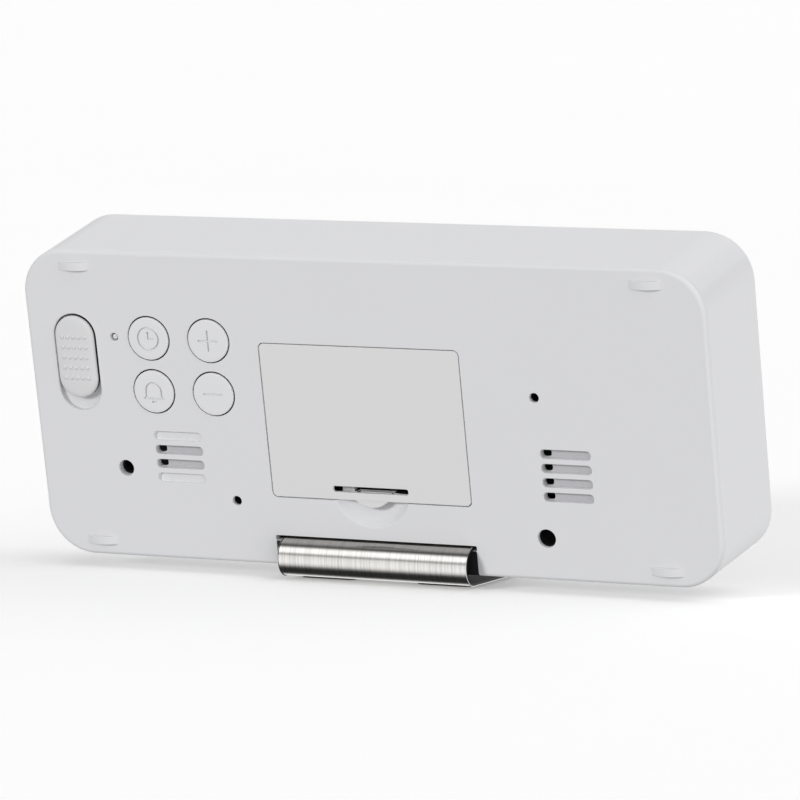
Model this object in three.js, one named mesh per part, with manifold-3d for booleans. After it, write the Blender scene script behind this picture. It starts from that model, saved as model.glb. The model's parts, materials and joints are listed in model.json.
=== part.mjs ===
// Desk alarm clock. A slim white moulded case leans back on a bent stainless strip. The display faces -Y and
// the control panel faces +Y. Millimetres, +Z up, the origin under the middle of the clock on the table.
import * as THREE from 'three';
import { mergeVertices } from 'three/addons/utils/BufferGeometryUtils.js';
import Module from 'manifold-3d';

const wasm = await Module();
wasm.setup();

// ---- Driving dimensions ---------------------------------------------------------------------------------
// x runs to the right seen from the display, z runs up the panel from its lower edge, and depths run forward
// from the back face. A side is a distance in from the end of the case.
const shell = { width: 174, height: 75.8, depth: 30, corner: 11.3, edge: 1, flare: 0.7, wall: 2, face: 3.2 };
const seam = 1.3; // the side band that belongs to the back cover
const lip = { depth: 5, thickness: 1.2 };
const lean = 12.3; // degrees
const gap = 0.3; // between pieces that touch
const past = 1; // a cutter runs this far past the face it opens
const root = 0.2; // joined shapes run this far into each other
const centreX = 0.5; // battery door and stand sit this far to the right of the middle

const keys = { side: 40.1, z: 48.2, radius: 5.2, proud: 0.3, edge: 0.3, travel: 0.6 };
const flange = { lap: 0.6, thickness: 0.8, spaceX: 3.55, spaceZ: 0.85 };
const plunger = { radius: 1.6, stem: 1.5, above: 1.5, engage: 0.9, slack: 0.1 };
const tact = { side: 6, small: 4.5, height: 3.5 };
const reset = { z: 54.7, space: 1.425, radius: 0.65, hole: 1, collar: 1.7, sunk: 0.6, travel: 0.5 };
const knob = { width: 10.2, length: 20.2, thickness: 1.1, crown: 1, travel: 2.9, play: 0.4 };
const slider = { side: 12.5, z: 48.15, floor: 1.4, wall: 1.2, stem: 2.2, engage: 1 };
const dots = { radius: 0.35, proud: 0.25, rows: 5, pitchX: 1.5, pitchZ: 2.52 };
const slide = { width: 5, length: 11, bore: 1.4 };
const inlet = { side: 22.5, z: 22.2, radius: 1.95, bore: 1.8, body: 7.6, pin: 0.55, tip: 0.3, end: 1.5 };
const vents = { side: 37.2, below: 10.075, count: 4, length: 12.5, height: 2.2, corner: 0.95, pitch: 3.45 };
const groove = 0.8; // depth of a vent that is only a groove
const vent = { floor: 1.5, hole: 2.2 }; // an open vent is a groove with a hole at its right end
const speaker = { radius: 9, depth: 3.6, rim: 1, wall: 0.6, seat: 1.4, ring: 1.3 };
const magnet = { radius: 5.5, depth: 3 };
const cone = { depth: 2.2, sheet: 0.3, dust: 1.1, dustRadius: 3 };
const sensor = { height: 14, overhang: 3, thickness: 1.2, depth: 7, chip: 3, rise: 1, post: 0.9 };
const ribs = { side: 14.1, z: 3.85, length: 8.2, thickness: 2, proud: 1.2 };
const boardDepth = 11.5; // back face to the key board
const keyBoard = { inner: 55, outer: 6.5, low: 11.5, step: 34.5, high: 63.5, thickness: 1.6, margin: 0.8 };
const stakes = { radius: 1.1, proud: 0.5, places: [[53, 48.2], [23, 44], [23, 33]] }; // side and z of each

const cell = { length: 44.5, radius: 5.25, space: 0.7, nub: 1.9, nubLength: 1 };
const door = { low: 17.05, corner: 1.2, thickness: 1.8 };
const bay = { lapX: 0.5, lapZ: 1.5, top: 0.8, above: 0.5, wall: 1.4, ledge: 3.4, rim: 1.5 };
const tab = { width: 8.4, drop: 1.74, thickness: 1.2 };
const latchSlot = { length: 19.5, height: 1.1, up: 2.6 };
const hook = { spread: 14, width: 6, stem: 1.7, rise: 2.1, top: 2.35, bottom: 3.4, play: 0.6 };
const nose = { width: 8, up: 0.1, height: 1.3, depth: 3.2, play: 0.8 };
const bayRib = { x: 6.8, width: 3.1, rise: 1.85, from: 2.4, to: 4.2 };
const scoop = { radius: 10.2, up: 3.7, deep: 2.8, backing: 1.2, margin: 1 };
const contact = { thickness: 0.4, height: 8.5, width: 9.5 };
const coil = { wire: 0.3, radius: 2.6, turns: 3, taper: 0.35, room: 4.1 };

const carrier = { wall: 1.2, plate: 1.2, ear: 3.4, earHeight: 8, post: 0.5, bore: 1.2, hole: 1.5 };
const lens = { border: 5, corner: 8, thickness: 1.5 };
const lcd = { border: 9.9, thickness: 2.8 };
const opening = { lapX: 2, lapZ: 1, corner: 3 };
const zebra = { height: 2.6, edge: 2, end: 9, clear: 5 };
const guide = { thickness: 3, end: 4, clear: 0.6, shift: 2 };
const lamp = { thickness: 1, length: 3, width: 1.8, proud: 0.7, pitch: 14 };
const mainBoard = { border: 8.6, thickness: 1.6 };
const blob = { x: -62, z: 46, radius: 7, height: 1.2 };

const stand = { width: 50, sheet: 0.9, bend: 4.7, leg: 28, tail: 14 };
const standSlot = { z: 6.75, play: 0.9, slack: 0.175 };
const shelf = { width: 54, thickness: 3, hole: 0.8 };
const clampScrew = { spread: 15, depth: 8, head: 2.2, headHeight: 1.2, shank: 1, length: 3.4 };
const pad = { length: 20, width: 14, thickness: 0.5, spread: 15 };
// Case screws in deep wells: place, well radius, head radius, shank radius.
const wells = [
  { name: 'case_screw_lower_right', x: 35.8, z: 15.4, radius: 1.15, head: 1, shank: 0.5 },
  { name: 'case_screw_upper_left', x: -43.2, z: 44.1, radius: 1.15, head: 1, shank: 0.5 },
  { name: 'case_screw_lower_left', x: -43.4, z: 10.2, radius: 2.2, head: 1.9, shank: 1.1 },
];
const well = { wall: 1.2, seat: 10.4, floor: 1.6, boss: 1.3, clearance: 0.25 };
const screw = { head: 1, dome: 0.2, bite: 1.5, slotWidth: 0.4, slotLength: 1.4, slotDepth: 0.4 };
const carrierScrew = { shank: 0.9, head: 1.9, height: 0.9, bite: 3 };
const ribbon = { side: 41, width: 12, thickness: 0.4, hang: 5, above: 1 };
const lead = { thickness: 1.2, clear: 0.8 };

// ---- Places worked out from them ------------------------------------------------------------------------
const mid = shell.height / 2;
const fromSide = (side) => shell.width / 2 - side;
const inset = shell.wall + gap;
const behindWall = shell.wall + gap;

const keyX = fromSide(keys.side);
const flangeRadius = keys.radius + gap + flange.lap;
const keyPitchX = 2 * flangeRadius + flange.spaceX;
const keyPitchZ = 2 * flangeRadius + flange.spaceZ;
const resetX = keyX + keyPitchX / 2 + flangeRadius + reset.space + reset.collar;
const sliderX = fromSide(slider.side);
const knobZ = slider.z + knob.travel / 2; // alarm on: the knob is at the upper end
const recess = { width: knob.width + 2 * knob.play, length: knob.length + knob.travel + 2 * knob.play };
const ventX = fromSide(vents.side);
const ventZ = keys.z - keyPitchZ / 2 - flangeRadius - vents.below;
const inletX = fromSide(inlet.side);
const boardFront = boardDepth + keyBoard.thickness;
const switchFront = boardDepth - gap;
const switchTop = switchFront - tact.height;
const plungerTop = switchTop - plunger.above;
const boreDepth = (travel) => switchTop + plunger.engage + travel + plunger.slack;

const rebate = door.thickness + gap;
const cellPitch = 2 * cell.radius + cell.space;
const cellDepth = rebate + bay.above + cell.radius;
const bayDepth = cellDepth + cell.radius + gap;
const bayLength = cell.length + coil.room + 2 * (contact.thickness + gap);
const bayHeight = 2 * cellPitch + 2 * (cell.radius + bay.top);
const bayEnd = bayLength / 2;
const doorWidth = bayLength + 2 * bay.lapX;
const doorHeight = bayHeight + 2 * bay.lapZ;
const doorZ = door.low + doorHeight / 2;
const doorTop = door.low + doorHeight;

const faceInner = shell.depth - shell.face;
const lcdFront = faceInner - gap;
const lcdBack = lcdFront - lcd.thickness;
const guideBack = lcdBack - gap - guide.thickness;
const plateBack = guideBack - gap - carrier.plate;
const boardFace = plateBack - gap;
const boardBack = boardFace - mainBoard.thickness;
const postRadius = carrier.ear / 2 + carrier.post;
const earX = shell.width / 2 - shell.wall - gap - carrier.ear / 2;
const trayWidth = 2 * (earX - postRadius - gap);
const lcdWidth = trayWidth - 2 * (carrier.wall + gap);
const lcdHeight = shell.height - 2 * lcd.border;
const trayHeight = lcdHeight + 2 * (carrier.wall + gap);
const zebraUp = lcdHeight / 2 - zebra.edge;
const guideWidth = lcdWidth - 2 * guide.end;
const guideHeight = 2 * (zebraUp - zebra.height / 2 - gap - guide.clear);
const wellFloor = well.seat + well.floor;

const legZ = standSlot.z + stand.sheet / 2; // upper face of the strip's leg inside the case
const shelfLow = legZ + gap;
const tilt = THREE.MathUtils.degToRad(lean);
const bendCentre = { y: gap, z: legZ - stand.bend };

// ---- Solids ---------------------------------------------------------------------------------------------
// A closed three.js geometry as a solid that can be joined and cut.
function solid(geometry) {
  const bare = geometry.index ? geometry.toNonIndexed() : geometry.clone();
  bare.deleteAttribute('normal');
  bare.deleteAttribute('uv');
  const merged = mergeVertices(bare, 1e-4);
  const kept = [];
  const index = merged.index.array;
  for (let i = 0; i < index.length; i += 3) {
    const [a, b, c] = [index[i], index[i + 1], index[i + 2]];
    if (a !== b && b !== c && c !== a) kept.push(a, b, c);
  }
  return new wasm.Manifold(new wasm.Mesh({
    numProp: 3, vertProperties: merged.attributes.position.array, triVerts: new Uint32Array(kept),
  }));
}

const join = (first, ...rest) => rest.reduce((whole, piece) => whole.add(piece), first);
const cut = (first, ...tools) => tools.reduce((left, tool) => left.subtract(tool), first);

function roundedRect(width, height, radius) {
  const x = width / 2 - radius;
  const y = height / 2 - radius;
  const shape = new THREE.Shape();
  shape.absarc(x, y, radius, 0, Math.PI / 2);
  shape.absarc(-x, y, radius, Math.PI / 2, Math.PI);
  shape.absarc(-x, -y, radius, Math.PI, 1.5 * Math.PI);
  shape.absarc(x, -y, radius, 1.5 * Math.PI, 2 * Math.PI);
  return shape;
}

function outline(...points) {
  return new THREE.Shape(points.map(([x, y]) => new THREE.Vector2(x, y)));
}

function extrusion(shape, depth, segments) {
  return new THREE.ExtrudeGeometry(shape, { depth, curveSegments: segments, bevelEnabled: false });
}

// A shape drawn in x and z, filled from one depth to a greater one.
function slab(shape, from, to, { x = 0, z = 0, segments = 2 } = {}) {
  return solid(extrusion(shape, to - from, segments).rotateX(Math.PI / 2).translate(x, -from, z));
}

// A profile drawn in y and z, filled across the width.
function profile(shape, width, { x = 0, segments = 4 } = {}) {
  const geometry = extrusion(shape, width, segments).rotateY(Math.PI / 2).rotateX(Math.PI / 2);
  return solid(geometry.translate(x - width / 2, 0, 0));
}

function block(width, height, from, to, { x = 0, z = 0 } = {}) {
  return solid(new THREE.BoxGeometry(width, to - from, height).translate(x, -(from + to) / 2, z));
}

function rod(radius, from, to, { x = 0, z = 0, sides = 12 } = {}) {
  const geometry = new THREE.CylinderGeometry(radius, radius, to - from, sides);
  return solid(geometry.translate(x, -(from + to) / 2, z));
}

// An upright round bar at a depth, from one height to another.
function post(x, depth, low, high, radius, sides = 10) {
  const geometry = new THREE.CylinderGeometry(radius, radius, high - low, sides).rotateX(Math.PI / 2);
  return solid(geometry.translate(x, -depth, (low + high) / 2));
}

// A profile of [radius, depth] pairs turned about an axis that runs front to back, greatest depth first.
function turned(points, { x = 0, z = 0, sides = 16 } = {}) {
  const geometry = new THREE.LatheGeometry(points.map(([r, d]) => new THREE.Vector2(r, -d)), sides);
  return solid(geometry.translate(x, 0, z));
}

function tube(points, width, height, steps) {
  const section = new THREE.Shape();
  section.absellipse(0, 0, width / 2, height / 2, 0, 2 * Math.PI);
  const path = new THREE.CatmullRomCurve3(points.map(([x, d, z]) => new THREE.Vector3(x, -d, z)));
  const options = { steps, curveSegments: 4, extrudePath: path, bevelEnabled: false };
  return solid(new THREE.ExtrudeGeometry(section, options));
}

// The sides spread a little from the back face to the front one.
function flared(geometry) {
  const at = geometry.attributes.position;
  for (let i = 0; i < at.count; i += 1) {
    const spread = (-2 * shell.flare * at.getY(i)) / shell.depth;
    at.setX(i, at.getX(i) * (1 + spread / shell.width));
    at.setZ(i, mid + (at.getZ(i) - mid) * (1 + spread / shell.height));
  }
  return geometry;
}

function caseBlock() {
  const { width, height, depth, corner, edge } = shell;
  const shape = roundedRect(width - 2 * edge, height - 2 * edge, corner - edge);
  const geometry = new THREE.ExtrudeGeometry(shape, {
    depth: depth - 2 * edge, curveSegments: 4, bevelThickness: edge, bevelSize: edge, bevelSegments: 2,
  });
  return solid(flared(geometry.rotateX(Math.PI / 2).translate(0, -edge, mid)));
}

function insetRect(by, from, to) {
  const shape = roundedRect(shell.width - 2 * by, shell.height - 2 * by, shell.corner - by);
  return slab(shape, from, to, { z: mid, segments: 4 });
}

const bothSides = (make) => [-1, 1].map(make);

// ---- Finishes -------------------------------------------------------------------------------------------
const finish = (color, roughness, metalness = 0) => {
  return new THREE.MeshStandardMaterial({ color, roughness, metalness });
};
const white = finish(0xe6e6e8, 0.55);
const keyWhite = finish(0xe9e9eb, 0.5);
const steel = finish(0xb9b6b0, 0.35, 1);
const nickel = finish(0xc8c6be, 0.25, 1);
const brass = finish(0xc9a75a, 0.3, 1);
const screwSteel = finish(0x8d8d8f, 0.35, 1);
const blackPlastic = finish(0x17181a, 0.5);
const smoked = finish(0x0b0c0e, 0.05);
const displayGlass = finish(0x101114, 0.1);
const clear = finish(0xdfe6ea, 0.2);
const rubber = finish(0x26272a, 0.85);
const green = finish(0x1d5b35, 0.5);
const paper = finish(0x2b2a28, 0.9);
const label = finish(0x1c1f26, 0.35);
const wire = finish(0xb02a25, 0.5);

const clock = new THREE.Group(); // the case and everything in it, tipped back
const model = new THREE.Group(); // the clock and what lies flat on the table

function add(name, shape, material, group = clock) {
  const { vertProperties, triVerts } = shape.getMesh();
  const geometry = new THREE.BufferGeometry();
  geometry.setAttribute('position', new THREE.BufferAttribute(vertProperties, 3));
  geometry.setIndex(new THREE.BufferAttribute(triVerts, 1));
  geometry.computeVertexNormals();
  const mesh = new THREE.Mesh(geometry, material);
  mesh.name = name;
  group.add(mesh);
}

// ---- Main shell: side walls and front wall, with a rebate for the lens and two posts for the carrier ----
function frontHousing() {
  const { width, height, depth, corner, wall } = shell;
  const inside = roundedRect(width - 2 * wall, height - 2 * wall, corner - wall);
  const hollow = extrusion(inside, faceInner + past, 4).rotateX(Math.PI / 2);
  const cavity = solid(flared(hollow.translate(0, past, mid)));
  const back = block(2 * width, 2 * height, -past, seam + gap, { z: mid });
  const rebateShape = roundedRect(width - 2 * lens.border + 2 * gap, height - 2 * lens.border + 2 * gap,
    lens.corner + gap);
  const lensRebate = slab(rebateShape, depth - lens.thickness - gap, depth + past, { z: mid, segments: 4 });
  const view = roundedRect(lcdWidth - 2 * opening.lapX, lcdHeight - 2 * opening.lapZ, opening.corner);
  const viewCut = slab(view, faceInner - past, depth, { z: mid });
  const posts = bothSides((side) => rod(postRadius, guideBack - gap, faceInner + past,
    { x: side * earX, z: mid }));
  const holes = bothSides((side) => rod(carrier.bore, guideBack - gap - past, faceInner - past,
    { x: side * earX, z: mid, sides: 8 }));
  return cut(join(cut(caseBlock(), cavity, back), ...posts), lensRebate, viewCut, ...holes);
}

// ---- Back cover: the whole control panel, with the battery bay moulded in one with it -------------------
const ventRows = Array.from({ length: vents.count }, (_, i) => ({
  z: ventZ + ((vents.count - 1) / 2 - i) * vents.pitch, outer: i === 0 || i === vents.count - 1,
}));

// The outer rows of the right group are only grooves. Every other row has its hole.
function ventCuts() {
  const shape = roundedRect(vents.length, vents.height, vents.corner);
  const hole = roundedRect(vent.hole, vents.height, vents.corner);
  return bothSides((side) => ventRows.flatMap(({ z, outer }) => {
    const x = side * ventX;
    if (side > 0 && outer) return [slab(shape, -past, groove, { x, z })];
    const end = x + (vents.length - vent.hole) / 2;
    return [slab(shape, -past, vent.floor, { x, z }), slab(hole, 0, shell.wall + past, { x: end, z })];
  })).flat();
}

function wellTubes() {
  return wells.map(({ x, z, radius }) => rod(radius + well.wall, seam, wellFloor, { x, z, sides: 16 }));
}

function wellBores() {
  return wells.flatMap(({ x, z, radius, shank }) => [
    rod(radius, -past, well.seat, { x, z, sides: 16 }),
    rod(shank + well.clearance, well.seat - past, wellFloor + past, { x, z, sides: 10 }),
  ]);
}

function cornerRib(x, z) {
  const half = ribs.length / 2;
  const radius = (half ** 2 + ribs.proud ** 2) / (2 * ribs.proud);
  const reach = Math.asin(half / radius);
  const shape = new THREE.Shape();
  shape.absarc(0, ribs.proud - radius, radius, Math.PI / 2 - reach, Math.PI / 2 + reach);
  shape.lineTo(-half, -seam);
  shape.lineTo(half, -seam);
  return solid(extrusion(shape, ribs.thickness, 4).translate(x, 0, z - ribs.thickness / 2));
}

function scoopSphere() {
  const radius = (scoop.radius ** 2 + scoop.deep ** 2) / (2 * scoop.deep);
  const ball = new THREE.SphereGeometry(radius, 24, 24).rotateX(Math.PI / 2);
  return solid(ball.translate(centreX, radius - scoop.deep, door.low + scoop.up));
}

function coverBody() {
  const atDoor = { x: centreX, z: doorZ };
  const atVents = { x: ventX, z: ventZ, sides: 20 };
  const plateBand = caseBlock().intersect(block(2 * shell.width, 2 * shell.height, -past, seam, { z: mid }));
  const innerPlate = insetRect(inset, seam - root, shell.wall);
  const ring = cut(insetRect(inset, seam - root, lip.depth),
    insetRect(inset + lip.thickness, seam, lip.depth + past));
  const rim = gap + bay.rim;
  const flangeShape = roundedRect(doorWidth + 2 * rim, doorHeight + 2 * rim, bay.rim);
  const bayFlange = slab(flangeShape, seam, bay.ledge, atDoor);
  const bayBox = block(bayLength + 2 * bay.wall, bayHeight + 2 * bay.wall, seam, bayDepth + bay.wall, atDoor);
  const cup = roundedRect(recess.width + 2 * slider.wall, recess.length + 2 * slider.wall,
    recess.width / 2 + slider.wall);
  const recessCup = slab(cup, seam, slider.floor + slider.wall, { x: sliderX, z: slider.z, segments: 3 });
  const speakerRing = cut(rod(speaker.radius + speaker.ring, seam, lip.depth, atVents),
    rod(speaker.radius + gap, shell.wall, lip.depth + past, atVents));
  const padLow = door.low + scoop.up - scoop.radius - scoop.margin / 2;
  const scoopPad = block(2 * (scoop.radius + scoop.margin), door.low + scoop.margin - padLow, seam,
    scoop.deep + scoop.backing, { x: centreX, z: (door.low + scoop.margin + padLow) / 2 });
  const standShelf = block(shelf.width, shelf.thickness, seam, stand.tail + past,
    { x: centreX, z: shelfLow + shelf.thickness / 2 });
  const sensorPosts = bothSides((side) => rod(sensor.post, seam, sensor.depth - gap,
    { x: -ventX + side * (vents.length / 2 + 2), z: ventZ, sides: 8 }));
  const boardStakes = stakes.places.map(([side, z]) => rod(stakes.radius, seam, boardFront + stakes.proud,
    { x: fromSide(side), z, sides: 8 }));
  const cornerRibs = bothSides((side) => [ribs.z, shell.height - ribs.z]
    .map((z) => cornerRib(side * fromSide(ribs.side), z))).flat();
  return join(plateBand, innerPlate, ring, bayFlange, bayBox, recessCup, speakerRing, scoopPad, standShelf,
    ...sensorPosts, ...boardStakes, ...cornerRibs, ...wellTubes());
}

function coverCuts() {
  const atDoor = { x: centreX, z: doorZ };
  const through = shell.wall + 2 * past;
  const doorRebate = slab(roundedRect(doorWidth + 2 * gap, doorHeight + 2 * gap, door.corner + gap), -past,
    rebate, atDoor);
  const bayHollow = block(bayLength, bayHeight, 0, bayDepth, atDoor);
  const hookLow = doorTop - hook.stem - gap;
  const hookHigh = doorTop + hook.rise + hook.play;
  const hookPockets = bothSides((side) => block(hook.width + 2 * hook.play, hookHigh - hookLow, shell.wall,
    bay.ledge + past, { x: centreX + side * hook.spread, z: (hookLow + hookHigh) / 2 }));
  const noseLow = door.low + nose.up - gap - root;
  const nosePocket = block(nose.width + 2 * nose.play, nose.height + 2 * nose.play, shell.wall,
    nose.depth + nose.play, { x: centreX, z: noseLow + nose.height / 2 + nose.play });
  const recessCut = slab(roundedRect(recess.width, recess.length, recess.width / 2), -past, slider.floor,
    { x: sliderX, z: slider.z, segments: 3 });
  const stemSlot = block(slider.stem + 2 * gap, slider.stem + knob.travel + 2 * gap, past,
    slider.floor + slider.wall + past, { x: sliderX, z: slider.z });
  const keyHoles = keyPlaces.map(({ x, z }) => rod(keys.radius + gap, -past, through, { x, z, sides: 20 }));
  const inletHole = rod(inlet.radius, -past, through, { x: inletX, z: inlet.z, sides: 20 });
  const resetHole = rod(reset.hole, -past, through, { x: resetX, z: reset.z, sides: 16 });
  const stripSlot = block(stand.width + 2 * standSlot.play, stand.sheet + 2 * standSlot.slack, -past, through,
    { x: centreX, z: standSlot.z });
  const shelfHoles = clampPlaces.map(({ x }) => post(x, clampScrew.depth, shelfLow - past,
    shelfLow + shelf.thickness - shelf.hole, clampScrew.shank + gap));
  return [doorRebate, bayHollow, ...hookPockets, nosePocket, recessCut, stemSlot, ...keyHoles, ...ventCuts(),
    inletHole, resetHole, stripSlot, ...shelfHoles, ...wellBores(), scoopSphere()];
}

// A rib on the floor of the bay shows through the latch slot.
function backCover() {
  const bayLow = doorZ - bayHeight / 2;
  const rib = block(bayRib.width, bayRib.rise + root, bayRib.from, bayRib.to,
    { x: centreX + bayRib.x, z: bayLow + (bayRib.rise - root) / 2 });
  return join(cut(coverBody(), ...coverCuts()), rib);
}

// ---- Battery door, cells and contacts -------------------------------------------------------------------
function batteryDoor() {
  const { thickness } = door;
  const panel = slab(roundedRect(doorWidth, doorHeight, door.corner), 0, thickness, { x: centreX, z: doorZ });
  const half = tab.width / 2;
  const radius = (half ** 2 + tab.drop ** 2) / (2 * tab.drop);
  const tongue = slab(new THREE.Shape().absarc(0, 0, radius, 0, 2 * Math.PI), 0, tab.thickness,
    { x: centreX, z: door.low - tab.drop + radius, segments: 16 });
  const hooks = bothSides((side) => {
    const x = centreX + side * hook.spread;
    const stem = block(hook.width, hook.stem, thickness - root, hook.bottom,
      { x, z: doorTop - hook.stem / 2 });
    const reach = block(hook.width, hook.rise + hook.stem, hook.top, hook.bottom,
      { x, z: doorTop + (hook.rise - hook.stem) / 2 });
    return join(stem, reach);
  });
  const snap = block(nose.width, nose.height, thickness - root, nose.depth,
    { x: centreX, z: door.low + nose.up + nose.height / 2 });
  const slot = slab(roundedRect(latchSlot.length, latchSlot.height, 0.45 * latchSlot.height), -past,
    thickness + past, { x: centreX, z: door.low + latchSlot.up });
  return cut(join(panel, tongue, ...hooks, snap), slot);
}

// Cells lie across the bay and alternate in direction.
const cellPlaces = [1, 0, -1].map((row) => ({ z: doorZ + row * cellPitch, way: row === 0 ? -1 : 1 }));
const nubEnd = bayEnd - 2 * gap - contact.thickness;

function batteryCell({ z, way }) {
  const { radius, length, nub, nubLength } = cell;
  const steps = [
    [0, nubEnd - length], [radius, nubEnd - length], [radius, nubEnd - nubLength], [nub, nubEnd - nubLength],
    [nub, nubEnd], [0, nubEnd],
  ];
  const geometry = new THREE.LatheGeometry(steps.map(([r, y]) => new THREE.Vector2(r, y)), 16);
  geometry.rotateZ((-Math.PI / 2) * way);
  return solid(geometry.translate(centreX, -cellDepth, z));
}

// A contact plate at one end of the bay that covers one cell or joins two.
function contactPlate(side, z, rows) {
  const x = centreX + side * (bayEnd - gap - contact.thickness / 2);
  const half = contact.width / 2;
  const height = contact.height + (rows - 1) * cellPitch;
  return block(contact.thickness, height, cellDepth - half, cellDepth + half - gap, { x, z });
}

class Helix extends THREE.Curve {
  constructor(length) {
    super();
    this.length = length;
  }

  getPoint(t, target = new THREE.Vector3()) {
    const angle = 2 * Math.PI * coil.turns * t;
    const radius = coil.radius * (1 - coil.taper * t);
    return target.set(this.length * t, radius * Math.cos(angle), radius * Math.sin(angle));
  }
}

// A conical spring fills the space between a contact plate and the flat end of its cell.
function contactSpring({ z, way }) {
  const start = nubEnd - coil.wire;
  const end = cell.length - nubEnd + gap + coil.wire;
  const section = new THREE.Shape().absarc(0, 0, coil.wire, 0, 2 * Math.PI);
  const geometry = new THREE.ExtrudeGeometry(section, {
    steps: coil.turns * 8, curveSegments: 3, bevelEnabled: false, extrudePath: new Helix(start - end),
  });
  geometry.translate(-start, 0, 0);
  if (way < 0) geometry.rotateZ(Math.PI);
  return solid(geometry.translate(centreX, -cellDepth, z));
}

// ---- Keys, switches and slider --------------------------------------------------------------------------
const keyPlaces = ['clock', 'plus', 'alarm', 'minus'].map((name, i) => ({
  name, x: keyX + (0.5 - (i % 2)) * keyPitchX, z: keys.z + (i < 2 ? 0.5 : -0.5) * keyPitchZ,
}));

function keyCap({ x, z }) {
  const { radius, proud, edge } = keys;
  const stemEnd = plungerTop - gap;
  const flangeFront = behindWall + flange.thickness;
  return turned([
    [0, stemEnd], [plunger.stem, stemEnd], [plunger.stem, flangeFront], [flangeRadius, flangeFront],
    [flangeRadius, behindWall], [radius, behindWall], [radius, edge - proud], [radius - edge, -proud],
    [0, -proud],
  ], { x, z, sides: 20 });
}

function keyPlunger({ x, z }) {
  return rod(plunger.radius, plungerTop, switchTop + plunger.engage, { x, z });
}

function tactSwitch(side, radius, travel, at) {
  const bore = rod(radius + gap, switchTop - past, boreDepth(travel), at);
  return cut(block(side, side, switchTop, switchFront, at), bore);
}

function resetPin() {
  const { radius, collar, sunk } = reset;
  const collarBack = behindWall;
  const collarFront = behindWall + gap + flange.thickness;
  const end = switchTop + plunger.engage;
  return turned([
    [0, end], [radius, end], [radius, collarFront], [collar, collarFront], [collar, collarBack],
    [radius, collarBack], [radius, sunk], [0, sunk],
  ], { x: resetX, z: reset.z, sides: 12 });
}

// The knob is crowned across its length and carries a grid of grip dots.
function alarmSlider() {
  const { width, length, thickness, crown } = knob;
  const at = { x: sliderX, z: knobZ, segments: 3 };
  const steps = [[0, 0], [0.45, 0.5], [0.75, 1.3], [1, 2.6]]; // share of the crown, and how much narrower
  const tiers = steps.map(([share, trim]) => {
    return slab(roundedRect(width - trim, length - trim, (width - trim) / 2), -crown * share, thickness, at);
  });
  const middle = (dots.rows - 1) / 2;
  const grip = Array.from({ length: dots.rows ** 2 }, (_, i) => rod(dots.radius, -crown - dots.proud, 0, {
    x: sliderX + ((i % dots.rows) - middle) * dots.pitchX,
    z: knobZ + (Math.floor(i / dots.rows) - middle) * dots.pitchZ, sides: 5,
  }));
  const stem = block(slider.stem, slider.stem, thickness - root, switchTop + slider.engage, at);
  return join(...tiers, ...grip, stem);
}

function slideSwitch() {
  const at = { x: sliderX, z: slider.z };
  const track = block(slider.stem + 2 * gap, slider.stem + knob.travel + 2 * gap, switchTop - past,
    switchTop + slide.bore, at);
  return cut(block(slide.width, slide.length, switchTop, switchFront, at), track);
}

function keyBoardPlate() {
  const [left, right] = [fromSide(keyBoard.inner), fromSide(keyBoard.outer)];
  const { low, step, high, thickness } = keyBoard;
  const inner = inletX - inlet.body / 2 - keyBoard.margin;
  const shape = outline([left, step], [inner, step], [inner, low], [right, low], [right, high], [left, high]);
  const holes = stakes.places.map(([side, z]) => rod(stakes.radius + gap, boardDepth - past,
    boardFront + past, { x: fromSide(side), z, sides: 8 }));
  return cut(slab(shape, boardDepth, boardDepth + thickness), ...holes);
}

// ---- Inlet, loudspeaker, sensor -------------------------------------------------------------------------
function inletSocket() {
  const at = { x: inletX, z: inlet.z, sides: 16 };
  return cut(block(inlet.body, inlet.body, behindWall, switchFront, at),
    rod(inlet.bore, behindWall - past, switchFront - inlet.end, at));
}

function inletPin() {
  const end = switchFront - inlet.end - gap;
  const start = behindWall - gap + inlet.end + inlet.tip;
  const { pin, tip } = inlet;
  return turned([[0, end], [pin, end], [pin, start], [pin - tip, start - tip], [0, start - tip]],
    { x: inletX, z: inlet.z, sides: 10 });
}

function speakerFrame() {
  const { radius, depth, rim, wall, seat } = speaker;
  const hole = magnet.radius - rim / 2;
  const back = behindWall + depth;
  return turned([
    [hole, back], [magnet.radius + seat, back], [radius - rim / 2, behindWall + seat],
    [radius, behindWall + seat], [radius, behindWall], [radius - rim, behindWall],
    [radius - rim, behindWall + seat - wall], [magnet.radius + wall, back - wall], [hole, back - wall],
    [hole, back],
  ], { x: ventX, z: ventZ, sides: 20 });
}

function speakerCone() {
  const edge = speaker.radius - speaker.seat;
  const neck = magnet.radius - speaker.seat;
  return turned([
    [0, behindWall + cone.depth], [neck, behindWall + cone.depth], [edge, behindWall + 2 * cone.sheet],
    [edge, behindWall + cone.sheet], [neck, behindWall + cone.depth - cone.sheet],
    [cone.dustRadius, behindWall + cone.dust + cone.sheet], [0, behindWall + cone.dust],
  ], { x: ventX, z: ventZ, sides: 20 });
}

function speakerMagnet() {
  const { radius, depth } = magnet;
  const front = behindWall + speaker.depth + gap;
  const end = front + depth;
  const bevel = speaker.wall;
  return turned([[0, end], [radius - bevel, end], [radius, end - bevel], [radius, front], [0, front]],
    { x: ventX, z: ventZ, sides: 20 });
}

function temperatureSensor() {
  const { height, overhang, thickness, depth, chip, rise } = sensor;
  const at = { x: -ventX, z: ventZ };
  const board = block(vents.length + 2 * overhang, height, depth, depth + thickness, at);
  return join(board, block(chip, chip, depth - rise, depth + root, at));
}

// ---- Display stack, front to back -----------------------------------------------------------------------
function displayLens() {
  const shape = roundedRect(shell.width - 2 * lens.border, shell.height - 2 * lens.border, lens.corner);
  return slab(shape, shell.depth - lens.thickness, shell.depth, { z: mid, segments: 4 });
}

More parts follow.
